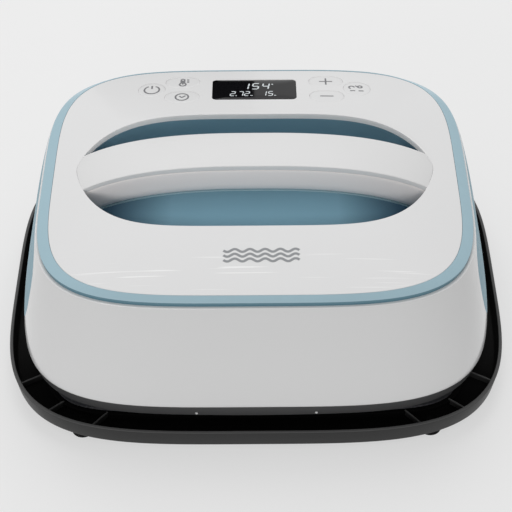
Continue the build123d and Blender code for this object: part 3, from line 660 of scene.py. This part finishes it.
# ---------------- base tray
def make_base_tray():
    """Shallow tray: a drafted wall with a rounded rim, a kerb round the mat, and corner ribs between."""
    wall, draft, floor, floor_top = TRAY_WALL, TRAY_DRAFT, TRAY_FLOOR, TRAY_FLOOR_TOP
    outside = rounded([(-52, floor + 1.2, 0), (-34, floor + 1.2, 0.6), (-32, floor, 0.6),
                       (-draft, floor, 1.8), (0, TRAY_TOP, 0.7), (-wall, TRAY_TOP, 0.7),
                       (-draft - wall, floor_top, 2.4), (-draft - wall - 3, floor_top, 0)])
    kerb_top = floor_top + KERB_HEIGHT
    kerb = rounded([(1.0, floor_top, 0), (0, floor_top, 0.7), (0, kerb_top, 0.6),
                    (-KERB_WIDTH, kerb_top, 0.6), (-KERB_WIDTH, floor_top, 0)])
    loops = [loop(TRAY_X + u, TRAY_Y + u, TRAY_POWER, z) for u, z in outside]
    loops += [loop(KERB_X + u, KERB_Y + u, KERB_POWER, z) for u, z in kerb]
    tray = capped(loops)
    parts = [tray]
    for corner in RIB_ANGLES:
        for turn in (corner, 180 - corner, 180 + corner, 360 - corner):
            parts.append(tray_rib(math.radians(turn)))
    obj = piece("tray_moulding", join_parts(parts), "rim_plastic", "tray")
    # Channel faces inside the rim take the darkened channel material: painted shade under the body.
    obj.data.materials.append(MATERIALS["channel_painted_shade"])
    rim_x, rim_y = TRAY_X - wall - 0.3, TRAY_Y - wall - 0.3
    for face in obj.data.polygons:
        x, y, z = face.center / MM
        within = abs(x / rim_x) ** TRAY_POWER + abs(y / rim_y) ** TRAY_POWER < 1
        # Ribs keep the rim's material, so their tops take its painted highlight.
        on_rib = face.index >= len(tray[1])
        if within and z > TRAY_FLOOR + 2 and not on_rib:
            face.material_index = 1
    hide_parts("base_tray")


def tray_rib(angle):
    """Low rib across the channel, with a rounded top."""
    along = np.array([math.cos(angle), math.sin(angle), 0])
    side = np.array([-along[1], along[0], 0])

    def reach(half_x, half_y, power):
        return (abs(along[0] / half_x) ** power + abs(along[1] / half_y) ** power) ** (-1 / power)
    start = reach(KERB_X - 1.4, KERB_Y - 1.4, KERB_POWER)
    end = reach(TRAY_X - 4.6, TRAY_Y - 4.6, TRAY_POWER)
    section = [(-1.1, -0.6), (-0.9, 3.4), (-0.6, 4.1), (0, 4.4), (0.6, 4.1), (0.9, 3.4), (1.1, -0.6)]
    loops = []
    for distance in (start, start + 2, end - 1.0, end + 1.0):
        loops.append(np.array([along * distance + side * u + np.array([0, 0, TRAY_FLOOR_TOP + z])
                               for u, z in section]))
    return capped(loops)


# ---------------- white body with side inlays
INLAY_Y, INLAY_Z, INLAY_CENTRE_Z, INLAY_POWER = 84.0, 48.0, 84.0, 2.5
INLAY_LOW, INLAY_HIGH = 43.0, SHOULDER_Z - 2.6
INLAY_CORNER = 16.0             # the higher, the tighter the corners between its ends and its level cuts
INLAY_EDGE = 0.35
INLAY_THICKNESS = 1.5
SHELL_WALL = 2.8
ROLL_HEIGHT, ROLL_DEPTH = 12.0, 0.3
VENT_COUNT, VENT_PITCH, VENT_MIDDLE_Z = 9, 9.0, 63.0
VENT_RADIUS, VENT_HALF_HEIGHT = 1.5, 7.5


def inlay_outline(angles, shrink=0.0):
    """Distance from the inlay's middle to its edge, bowed at the ends and cut level above and below."""
    bow = (np.abs(np.cos(angles) / (INLAY_Y - shrink)) ** INLAY_POWER
           + np.abs(np.sin(angles) / (INLAY_Z - shrink)) ** INLAY_POWER) ** (-1 / INLAY_POWER)
    above, below = INLAY_HIGH - INLAY_CENTRE_Z, INLAY_CENTRE_Z - INLAY_LOW
    level = np.where(np.sin(angles) > 0, above, below) - shrink
    level = level / np.maximum(np.abs(np.sin(angles)), 1e-3)
    return (bow ** -INLAY_CORNER + level ** -INLAY_CORNER) ** (-1 / INLAY_CORNER)


def inside_inlay(points, shrink):
    """Which points of the body's sides lie within the inlay's outline."""
    y, z = points[:, 1], points[:, 2] - INLAY_CENTRE_Z
    return (np.hypot(y, z) < inlay_outline(np.arctan2(z, y), shrink)) & (np.abs(points[:, 0]) > 120)


def make_lower_shell():
    """White body: a flared wall, rolled in at its foot, with shallow recesses under the inlays."""
    outside = filled(rounded([(9, SHELL_BOTTOM, 0), (0, SHELL_BOTTOM, 1.5), (0, SHOULDER_Z, 0.8),
                              (16, SHOULDER_Z, 0)]), 2.0)
    inside = filled(rounded([(16, SHOULDER_Z - 2.5, 0), (SHELL_WALL, SHOULDER_Z - 2.5, 1.0),
                             (SHELL_WALL, SHELL_BOTTOM + 2, 1.0), (9, SHELL_BOTTOM + 2, 0)]), 4.0)
    loops = []
    for inset, z in outside:
        half_x, half_y, power = flare_sizes(z)
        inset = inset + ROLL_DEPTH * np.clip(1 - (z - SHELL_BOTTOM) / ROLL_HEIGHT, 0, 1) ** 2
        ring = loop(half_x - inset, half_y - inset, power, z)
        sunk = inside_inlay(ring, 4.0)
        ring[sunk, 0] -= np.sign(ring[sunk, 0]) * 1.7
        loops.append(ring)
    for inset, z in inside:
        half_x, half_y, power = flare_sizes(z)
        loops.append(loop(half_x - inset, half_y - inset, power, z))
    obj = piece("body_shell", skin(loops, closed=True), "white_shell", "press")
    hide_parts("lower_shell")


def inlay_patch(side, lift, shrink, thickness, edge):
    """Curved panel following the body's side, with a rounded edge."""
    angles = turns(256)
    reach = inlay_outline(angles, shrink)

    def ring(scale, inward, sink):
        distance = reach * scale - inward
        y = distance * np.cos(angles)
        z = INLAY_CENTRE_Z + distance * np.sin(angles)
        return np.stack([side * (flare_x(y, z) + lift - sink), y, z], 1)
    loops = [ring(scale, 0, 0) for scale in np.linspace(0.02, 0.985, 46)]
    loops += [ring(1, edge, 0), ring(1, edge * 0.3, edge * 0.3), ring(1, 0, edge)]
    loops += [ring(1, 0, thickness), ring(0.98, 0, thickness)]
    loops += [ring(scale, 0, thickness) for scale in np.linspace(0.9, 0.02, 12)]
    return capped(loops)


def slot_cutter(side):
    """The upright vent slots as one cutter mesh."""
    angles = turns(32)
    across = VENT_RADIUS * np.cos(angles)
    up = VENT_HALF_HEIGHT * np.sign(np.sin(angles)) + VENT_RADIUS * np.sin(angles)
    parts = []
    for i in range(VENT_COUNT):
        y = (i - (VENT_COUNT - 1) / 2) * VENT_PITCH
        loops = [np.stack([np.full(32, side * x), y + across, VENT_MIDDLE_Z + up], 1)
                 for x in (150.0, 190.0)]
        parts.append(capped(loops))
    return join_parts(parts)


def cut(obj, shape):
    """Cuts a closed shape from a piece, with the modifier applied."""
    vertices, faces = shape
    mesh = bpy.data.meshes.new("cutter")
    mesh.from_pydata((vertices * MM).tolist(), [], faces)
    turn_outward(mesh)
    cutter = bpy.data.objects.new("cutter", mesh)
    SCENE.collection.objects.link(cutter)
    modifier = obj.modifiers.new("cut", "BOOLEAN")
    modifier.object = cutter
    modifier.operation = "DIFFERENCE"
    modifier.solver = "EXACT"
    bpy.context.view_layer.update()
    graph = bpy.context.evaluated_depsgraph_get()
    result = bpy.data.meshes.new_from_object(obj.evaluated_get(graph))
    obj.modifiers.clear()
    old = obj.data
    obj.data = result
    bpy.data.meshes.remove(old)
    bpy.data.objects.remove(cutter)
    bpy.data.meshes.remove(mesh)


def smooth_normals(obj, true_normal):
    """Faces that lie on a known surface get that surface's own normals, so cuts leave no dents."""
    mesh = obj.data
    mesh.set_sharp_from_angle(angle=math.radians(SHARP))
    count = len(mesh.loops)
    normals = np.zeros(count * 3, np.float32)
    mesh.corner_normals.foreach_get("vector", normals)
    normals = normals.reshape(-1, 3).copy()
    corner_vertex = np.zeros(count, np.int32)
    mesh.loops.foreach_get("vertex_index", corner_vertex)
    places = np.zeros(len(mesh.vertices) * 3, np.float32)
    mesh.vertices.foreach_get("co", places)
    places = places.reshape(-1, 3)[corner_vertex] / MM
    face_normals = np.zeros(count * 3).reshape(-1, 3)
    for face in mesh.polygons:
        face_normals[face.loop_start:face.loop_start + face.loop_total] = face.normal
    wanted, valid = true_normal(places)
    valid &= (wanted * face_normals).sum(1) > 0.985
    normals[valid] = wanted[valid]
    mesh.normals_split_custom_set(normals.tolist())


def squared(values, size):
    """Sines or cosines pushed outward, so that a circle becomes a rounded rectangle."""
    return size * np.sign(values) * np.abs(values) ** 0.3


def make_side_inlays():
    """Pale blue panels in the body's sides, and a dark panel behind their vent slots that stands for the
    shade inside the body: painted shade.
    """
    angles = turns(64)
    for side, name in ((-1, "left"), (1, "right")):
        patch = inlay_patch(side, 0.12, 0.15, INLAY_THICKNESS, INLAY_EDGE)
        panel = piece(f"inlay_{name}", patch, "inlay_blue", "press")
        cut(panel, slot_cutter(side))
        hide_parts(f"side_inlay_{name}")
        # Dark panel behind the vent slots: painted shade inside the body.
        loops = []
        for scale in (1.0, 0.6, 0.2):
            y = squared(np.cos(angles), 46.0 * scale)
            z = VENT_MIDDLE_Z + squared(np.sin(angles), 13.0 * scale)
            loops.append(np.stack([side * (flare_x(y, z) - 1.45), y, z], 1))
        piece(f"vent_shade_panel_{name}", skin(loops, cap_last=True), "dark_plastic", "press")


def make_gland_seat():
    """Flat white pad on the back wall under the cord gland's flange."""
    low, high = node_box("cord_gland")
    middle_z = (low[2] + high[2]) / 2
    wall_y = flare_sizes(middle_z)[1]
    angles = turns(96)
    loops = []
    for radius, y in ((6.2, -1.5), (6.2, 1.8), (9.8, 1.8), (10.3, 1.6), (10.5, 1.1), (10.5, -1.5)):
        loops.append(np.stack([radius * np.cos(angles), np.full(96, wall_y + y),
                               middle_z + radius * np.sin(angles)], 1))
    piece("gland_seat", skin(loops, closed=True), "white_shell", "press")


# ---------------- trim ring and top cover
def make_trim_ring():
    span = RING_X - COVER_X
    profile = rounded([(-3.4, SHOULDER_Z, 0), (span - 0.5, SHOULDER_Z, 0.3), (span, RING_EDGE_Z, 0.6),
                       (1.9, COVER_Z - 0.82, 0.1), (0.9, COVER_Z - 0.39, 0.1), (0.05, COVER_Z, 0.1),
                       (0.05, COVER_SEAT, 0), (-3.4, COVER_SEAT, 0)])
    loops = []
    for u, z in profile:
        f = u / span
        crest = np.clip(1 - abs(u - 0.9) / 0.85, 0, 1) if z > RING_EDGE_Z else 0.0
        proud = 0.9 * crest * np.clip(SIN * 3 - 1.4, 0, 1)
        loops.append(loop(COVER_X + (RING_X - COVER_X) * f, COVER_Y + (RING_Y - COVER_Y) * f,
                          COVER_POWER + (RING_POWER - COVER_POWER) * f, z + proud))
    obj = piece("trim_band", skin(loops, closed=True), "ring_blue", "press")
    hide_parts("trim_ring")


# Place of each key on the cover, and whether it is round; the others are pills
KEY_ROW, KEY_NEAR, KEY_FAR = 12.4, 56.4, 80.4
KEYS = {
    "power_key": (PANEL_X - KEY_FAR, PANEL_Y + 1.3, True),
    "temperature_key": (PANEL_X - KEY_NEAR, PANEL_Y + KEY_ROW, False),
    "timer_key": (PANEL_X - KEY_NEAR, PANEL_Y + 1.6 - KEY_ROW, False),
    "plus_key": (PANEL_X + KEY_NEAR, PANEL_Y + KEY_ROW, False),
    "minus_key": (PANEL_X + KEY_NEAR, PANEL_Y + 1.6 - KEY_ROW, False),
    "mode_key": (PANEL_X + KEY_FAR, PANEL_Y + 1.3, True),
}
KEY_GAP, WINDOW_GAP = 0.09, 0.15
ROUND_KEY, PILL_LENGTH, PILL_DEPTH = 21.2, 27.0, 16.6
WINDOW_LENGTH, WINDOW_DEPTH, WINDOW_CORNER = 65.6, 31.6, 3.5


def stadium(length, depth, corner, grow=0.0, count=16):
    """Rounded rectangle outline as local points, anticlockwise."""
    half_x, half_y, radius = length / 2 + grow, depth / 2 + grow, corner + grow
    points = []
    for quarter, (sx, sy) in enumerate(((1, 1), (-1, 1), (-1, -1), (1, -1))):
        for i in range(count):
            angle = math.pi / 2 * (quarter + i / (count - 1))
            points.append((sx * (half_x - radius) + radius * math.cos(angle),
                           sy * (half_y - radius) + radius * math.sin(angle)))
    return np.array(points)


def key_points(name, grow=0.0):
    if KEYS[name][2]:
        return stadium(ROUND_KEY, ROUND_KEY, ROUND_KEY / 2 - 0.01, grow)
    return stadium(PILL_LENGTH, PILL_DEPTH, PILL_DEPTH / 2 - 0.01, grow)


def upright_cutter(place, outline):
    """Column through the cover along its normal."""
    return capped([on_crown(place, outline, lift) for lift in (-6.0, 3.0)])


COVER_GAP, COVER_EDGE, COVER_THICKNESS = 0.1, 0.35, 2.6


def make_top_cover():
    """Domed cover with a lipped opening for the fingers, cut out for the keys and the window."""
    outer_x, outer_y, edge = COVER_X - COVER_GAP, COVER_Y - COVER_GAP, COVER_EDGE

    def outer(inset, z):
        return loop(outer_x - inset, outer_y - inset, COVER_POWER, z)

    mouth = oval(OPENING_X, OPENING_FRONT, OPENING_BACK, 0.0)
    outward = mouth - np.array([0, OPENING_AXIS_Y, 0])
    outward /= np.linalg.norm(outward, axis=1)[:, None]

    def opening(grow):
        return mouth + outward * np.reshape(grow, (-1, 1))

    def laid(points, drop):
        return np.stack([points[:, 0], points[:, 1], crown_height(points[:, 0], points[:, 1]) - drop], 1)
    beside_handle = np.clip((np.abs(mouth[:, 1] - HANDLE_CENTRE_Y) - HANDLE_WIDTH / 2) / 5.0, 0, 1)
    lip_edge = 0.02 + 0.5 * beside_handle
    top_start, top_end = outer(edge, 0.0), opening(lip_edge)
    rim = laid(top_start, 0.0)[:, 2]
    loops = [outer(0, COVER_SEAT), outer(0, COVER_Z - edge), outer(edge * 0.07, COVER_Z - edge * 0.5)]
    loops.append(outer(edge * 0.35, COVER_Z - edge * 0.1 + (rim - COVER_Z) * 0.5))
    for s in np.linspace(0, 1, 56):
        loops.append(laid(top_start * (1 - s) + top_end * s, 0.0))
    for t in (0.25, 0.5, 0.75, 1.0):
        angle = t * math.pi / 2
        ring = opening(lip_edge * (1 - math.sin(angle)))
        loops.append(laid(ring, lip_edge * (1 - math.cos(angle))))
    for grow, drop in ((0.0, LIP - 0.3), (0.3, LIP), (4.5, LIP), (4.6, COVER_THICKNESS)):
        loops.append(laid(opening(grow), drop))
    under_start, under_end = opening(4.6), outer(3.0, 0.0)
    for s in np.linspace(0.15, 1, 14):
        loops.append(laid(under_start * (1 - s) + under_end * s, COVER_THICKNESS))
    loops.append(outer(COVER_THICKNESS, COVER_Z - 2.9))
    loops.append(outer(COVER_THICKNESS, COVER_SEAT))
    obj = piece("cover_moulding", skin(loops, closed=True), "white_cover", "press")
    cutters = []
    for name, (x, y, _) in KEYS.items():
        cutters.append(upright_cutter(crown_axes(x, y), key_points(name, KEY_GAP)))
    window = stadium(WINDOW_LENGTH, WINDOW_DEPTH, WINDOW_CORNER, WINDOW_GAP)
    cutters.append(upright_cutter(crown_axes(PANEL_X, PANEL_Y), window))
    cut(obj, join_parts(cutters))

    def crown_normal(points):
        x, y = points[:, 0], points[:, 1]
        slope_x, slope_y = crown_slopes(x, y, 0.3)
        normal = np.stack([-slope_x, -slope_y, np.ones(len(x))], 1)
        normal /= np.linalg.norm(normal, axis=1)[:, None]
        return normal, np.abs(points[:, 2] - crown_height(x, y)) < 0.02
    smooth_normals(obj, crown_normal)
    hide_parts("top_cover")


def crown_plate(place, outline, edge, depth, lift=0.0):
    """Solid cap whose top follows the cover, with a rounded rim and an upright wall."""
    size = np.abs(outline).max(0)

    def ring(inward, sink):
        scale = (size - inward) / size
        return on_crown(place, outline * scale, lift - sink)
    loops = [on_crown(place, outline * s, lift) for s in (0.06, 0.3, 0.55, 0.8)]
    loops += [ring(edge, 0), ring(edge * 0.3, edge * 0.3), ring(0, edge), ring(0, depth)]
    return capped(loops)


def make_keys():
    for name, (x, y, _) in KEYS.items():
        place = crown_axes(x, y)
        body = name.replace("_key", "_button")
        cap = crown_plate(place, key_points(name), 0.3, 4.2)
        obj = piece(f"{name}_cap", cap, "key_caps", body)
        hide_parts(name)


# ---------------- printed icons and display digits
def stroke(place, path, width, lift=0.03, closed=False, thick=0.05):
    """Flat printed line along local points, laid on the cover."""
    path = np.asarray(path, float)
    dense = [path[0]]
    ends = list(path[1:]) + ([path[0]] if closed else [])
    for there in ends:
        here = dense[-1]
        parts = max(1, int(np.linalg.norm(there - here) / 1.2))
        dense += [here + (there - here) * (i + 1) / parts for i in range(parts)]
    dense = np.array(dense[:-1] if closed else dense)
    if closed:
        tangent = np.roll(dense, -1, 0) - np.roll(dense, 1, 0)
    else:
        tangent = np.gradient(dense, axis=0)
    tangent /= np.maximum(np.linalg.norm(tangent, axis=1)[:, None], 1e-9)
    sideways = np.stack([-tangent[:, 1], tangent[:, 0]], 1) * width / 2
    rings = []
    for offset, height in ((-1, 0), (-1, thick), (1, thick), (1, 0)):
        rings.append(on_crown(place, dense + offset * sideways, lift - 0.03 + height))
    count = len(dense)
    vertices = np.concatenate(rings)
    faces = []
    last = count if closed else count - 1
    for i in range(last):
        j = (i + 1) % count
        for a in range(4):
            b = (a + 1) % 4
            faces.append((a * count + i, a * count + j, b * count + j, b * count + i))
    if not closed:
        faces.append(tuple(a * count for a in range(4)))
        faces.append(tuple(a * count + count - 1 for a in range(4))[::-1])
    return vertices, faces


def arc_points(radius, start, end, centre=(0, 0), count=24):
    angles = np.radians(np.linspace(start, end, count))
    return np.stack([centre[0] + radius * np.cos(angles), centre[1] + radius * np.sin(angles)], 1)


def circle_points(radius, centre=(0, 0), count=40):
    return arc_points(radius, 0, 360 - 360 / count, centre, count)


def make_icons():
    line = 1.35
    icons = {
        "power_key": [("open", arc_points(5.9, 118, 422)), ("open", [(0, 1.6), (0, 6.4)])],
        "temperature_key": [
            ("open", [(-1.3, -1.6), (-1.3, 4.6), (0, 5.6), (1.3, 4.6), (1.3, -1.6)]),
            ("open", arc_points(2.5, 122, 418, (0, -3.6))),
            ("open", [(0, -3.6), (0, 3.0)]), ("open", [(3.2, 4.2), (5.0, 4.2)]),
            ("open", [(3.2, 2.0), (5.0, 2.0)]), ("open", [(3.2, -0.2), (5.0, -0.2)])],
        "timer_key": [("closed", circle_points(5.0)), ("open", [(-2.0, 1.2), (0, -1.0), (2.8, 1.8)])],
        "plus_key": [("open", [(-5.2, 0), (5.2, 0)]), ("open", [(0, -5.2), (0, 5.2)])],
        "minus_key": [("open", [(-5.2, 0), (5.2, 0)])],
        "mode_key": [
            ("open", arc_points(2.0, 0, 250, (-4.0, 1.8))), ("closed", circle_points(1.6, (2.6, 2.8))),
            ("open", [(-5.4, -3.4), (-1.4, -3.4)]), ("open", [(1.2, -3.4), (5.2, -3.4)]),
            ("open", [(-1.0, 4.6), (0.6, 3.0)])],
    }
    for name, strokes in icons.items():
        x, y, _ = KEYS[name]
        place = crown_axes(x, y)
        parts = [stroke(place, path, line, closed=kind == "closed") for kind, path in strokes]
        icon, body = name.replace("_key", "_icon"), name.replace("_key", "_button")
        piece(icon, join_parts(parts), "icon_ink", body)


def make_front_mark():
    """Plain heat-wave motif printed on the front of the cover: three wavy lines."""
    place = crown_axes(4.2, -93.3)
    xs = np.linspace(-26.5, 26.5, 150)
    parts = []
    for rise in (-4.2, 0.0, 4.2):
        wave = rise + 1.25 * np.sin(xs * math.pi / 5.3)
        parts.append(stroke(place, np.stack([xs, wave], 1), 2.0))
    piece("front_mark", join_parts(parts), "printed_ink", "press")


SEGMENTS = {"1": "bc", "2": "abged", "4": "fgbc", "5": "afgcd", "7": "abc"}


def segment_bar(start, end, width):
    """Six-sided display segment between two points."""
    start, end = np.array(start, float), np.array(end, float)
    along = (end - start) / np.linalg.norm(end - start)
    sideways = np.array([-along[1], along[0]]) * width / 2
    inset = along * width / 2
    return [start, start + inset + sideways, end - inset + sideways, end, end - inset - sideways,
            start + inset - sideways]


def digit(character, left, low, width, height, bar):
    half = height / 2
    corners = {"a": ((0, height), (width, height)), "b": ((width, half), (width, height)),
               "c": ((width, 0), (width, half)), "d": ((0, 0), (width, 0)), "e": ((0, 0), (0, half)),
               "f": ((0, half), (0, height)), "g": ((0, half), (width, half))}
    bars = []
    for key in SEGMENTS[character]:
        start, end = np.array(corners[key], float)
        gap = (end - start) / np.linalg.norm(end - start) * bar * 0.12
        outline = np.array(segment_bar(start + gap, end - gap, bar))
        outline[:, 0] += outline[:, 1] * 0.14
        bars.append(outline + np.array([left, low]))
    return bars


def window_plane():
    origin, across, back, normal = crown_axes(PANEL_X, PANEL_Y)
    return origin - normal * 0.2, across, back, normal


def on_window(points, lift):
    origin, across, back, normal = window_plane()
    points = np.asarray(points, float)
    return origin + points[:, :1] * across + points[:, 1:2] * back + normal * lift


def make_display():
    outline = stadium(WINDOW_LENGTH, WINDOW_DEPTH, WINDOW_CORNER)
    size = outline.max(0)

    def ring(inward, sink):
        return on_window(outline * (size - inward) / size, -sink)
    loops = [on_window(outline * s, 0) for s in (0.1, 0.5)]
    loops += [ring(0.35, 0), ring(0.1, 0.1), ring(0, 0.35), ring(0, 1.9)]
    obj = piece("display_pane", capped(loops), "display_glass", "press")
    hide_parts("display_window")
    bars = []
    for i, character in enumerate("154"):
        bars += digit(character, -9.8 + i * 7.9, 0.9, 4.7, 8.9, 1.1)
    for character, left in (("2", -18.9), ("7", -12.6), ("2", -7.8), ("1", 5.4), ("5", 10.6)):
        bars += digit(character, left, -9.75, 3.3, 6.7, 0.85)
    marks = ((-14.2, -9.6, 0.45, 0.45), (14.2, 8.4, 0.6, 0.6),
             (-2.2, -9.4, 1.0, 0.4), (16.2, -9.4, 0.8, 0.4))
    for x, y, half_x, half_y in marks:
        corners = np.array([(-half_x, -half_y), (half_x, -half_y), (half_x, half_y), (-half_x, half_y)])
        bars.append(corners + (x, y))
    parts = []
    for bar in bars:
        parts.append(capped([on_window(bar, 0.005), on_window(bar, 0.04)]))
    piece("display_digits", join_parts(parts), "display_light", "press")


# ---------------- finger bowl and handle
def make_finger_bowl():
    mouth = oval(OPENING_X, OPENING_FRONT, OPENING_BACK, 0.0)
    top = crown_height(mouth[:, 0], mouth[:, 1]) - LIP - 0.05

    def ring(s, grow):
        z = top + (BOWL_FLOOR - top) * s
        return well_ring(z, grow) - np.array([0, 0, grow * s])
    steps = 1 - (1 - np.linspace(0, 1, 44)) ** 1.8
    inner = [ring(s, 0.0) for s in steps]
    outer = [ring(s, BOWL_WALL) for s in steps[::3]]
    middle = np.array([0, OPENING_AXIS_Y, 0])
    for scale in (0.85, 0.6, 0.3, 0.05):
        inner.append((inner[43] - middle) * np.array([scale, scale, 1]) + middle)
    outer.append((outer[-1] - middle) * np.array([0.05, 0.05, 1]) + middle)
    obj = piece("grip_bowl", capped(inner[::-1] + outer), "blue_bowl", "press")
    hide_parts("finger_bowl")


ARCH_TOP, ARCH_REACH, ARCH_POWER, ARCH_END_POWER = 154.1, 128.5, 3.9, 0.95
HANDLE_BEDDING = 0.1            # how far the handle's ends sit in the wall of the cover's opening


def handle_top(x, y):
    """Height of the handle's arch, which runs out flush into the cover at both ends."""
    cover = crown_height(x, y)
    middle = ARCH_TOP - crown_height(0.0, HANDLE_CENTRE_Y)
    t = np.clip(np.abs(x) / well_end(y, 140.0), 0, 1)
    return cover + middle * (1 - t ** ARCH_POWER) ** ARCH_END_POWER


def handle_tube(name, half_section, material, node, along=140):
    """Tube along X through (across, down, crown) points, its ends trimmed by the finger bowl."""
    half_section = [(float(a), float(d), float(c)) for a, d, c in half_section]
    left = [(-a, d, c) for a, d, c in half_section[-2:0:-1]]
    across, down, crown = np.array(half_section + left).T

    def place(x):
        t = np.abs(x) / ARCH_REACH
        y = HANDLE_CENTRE_Y + across * (1 + 0.01 * t ** 2)
        sweep = 2.7 * t ** 2 * np.clip((down - 14) / 12, 0, 1)
        return y, handle_top(x, y) - down - sweep + crown * np.clip(1 - t ** 4, 0, 1)
    reach = np.full(len(across), ARCH_REACH)
    for _ in range(14):
        y, z = place(reach)
        reach = 0.5 * reach + 0.5 * (well_end(y, z) + HANDLE_BEDDING)
    loops = []
    spread = 0.94 * math.pi / 2
    for u in np.sin(np.linspace(-1, 1, along) * spread) / math.sin(spread):
        y, z = place(reach * u)
        loops.append(np.stack([reach * u, y, z], 1))
    obj = piece(name, capped(loops), material, "press", 34.0)
    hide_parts(node)
    return obj


def make_handle():
    """Cap, lower grip and coloured liner, parted by a fine seam with a bright upper edge."""
    half = HANDLE_WIDTH / 2
    edge, seam, step = 0.6, 3.9, 0.22
    cap = [((half - edge) * s, 0.0, 1.0 * (1 - s ** 2)) for s in np.linspace(0, 1, 14)]
    for t in (0.25, 0.5, 0.75, 1.0):
        angle = t * math.pi / 2
        cap.append((half - edge + edge * math.sin(angle), edge * (1 - math.cos(angle)), 0.0))
    cap += [(half, d, 0) for d in (1.6, 2.6, seam - 0.2)]
    cap += [(half - 0.2, seam, 0), (half * 0.5, seam, 0), (0, seam, 0)]
    face = half + step
    lower = [(0, seam + 0.1, 0), (half * 0.5, seam + 0.1, 0), (half - 0.1, seam + 0.1, 0),
             (face - 0.1, seam + 0.35, 0), (face, seam + 0.7, 0)]
    lower += [(face, d, 0) for d in np.linspace(7, 16, 5)]
    for t in np.linspace(0.1, 1, 10):
        angle = t * math.pi / 2
        lower.append((face - 4.2 * (1 - math.cos(angle)), 16.0 + 8.4 * math.sin(angle), 0))
    lower += [(half * 0.6, 24.4, 0), (half * 0.3, 24.4, 0), (0, 24.4, 0)]
    liner = [(0, 24.5, 0), (half * 0.5, 24.5, 0), (half - 2.8, 24.5, 0), (half - 2.1, 24.8, 0),
             (half - 1.9, 25.3, 0), (half - 2.6, 25.9, 0), (half - 5.0, 26.1, 0), (half * 0.5, 26.2, 0),
             (0, 26.2, 0)]
    handle_tube("grip_cap", cap, "white_handle", "handle_cap")
    handle_tube("grip_lower", lower, "grip_white", "handle_lower")
    handle_tube("grip_liner", liner, "blue_trim", "handle_liner")


# ---------------- everything
make_camera()
make_studio()
make_plastics()
make_other_materials()
dress_cad_nodes()
make_base_tray()
make_lower_shell()
make_side_inlays()
make_gland_seat()
make_trim_ring()
make_top_cover()
make_keys()
make_icons()
make_front_mark()
make_display()
make_finger_bowl()
make_handle()
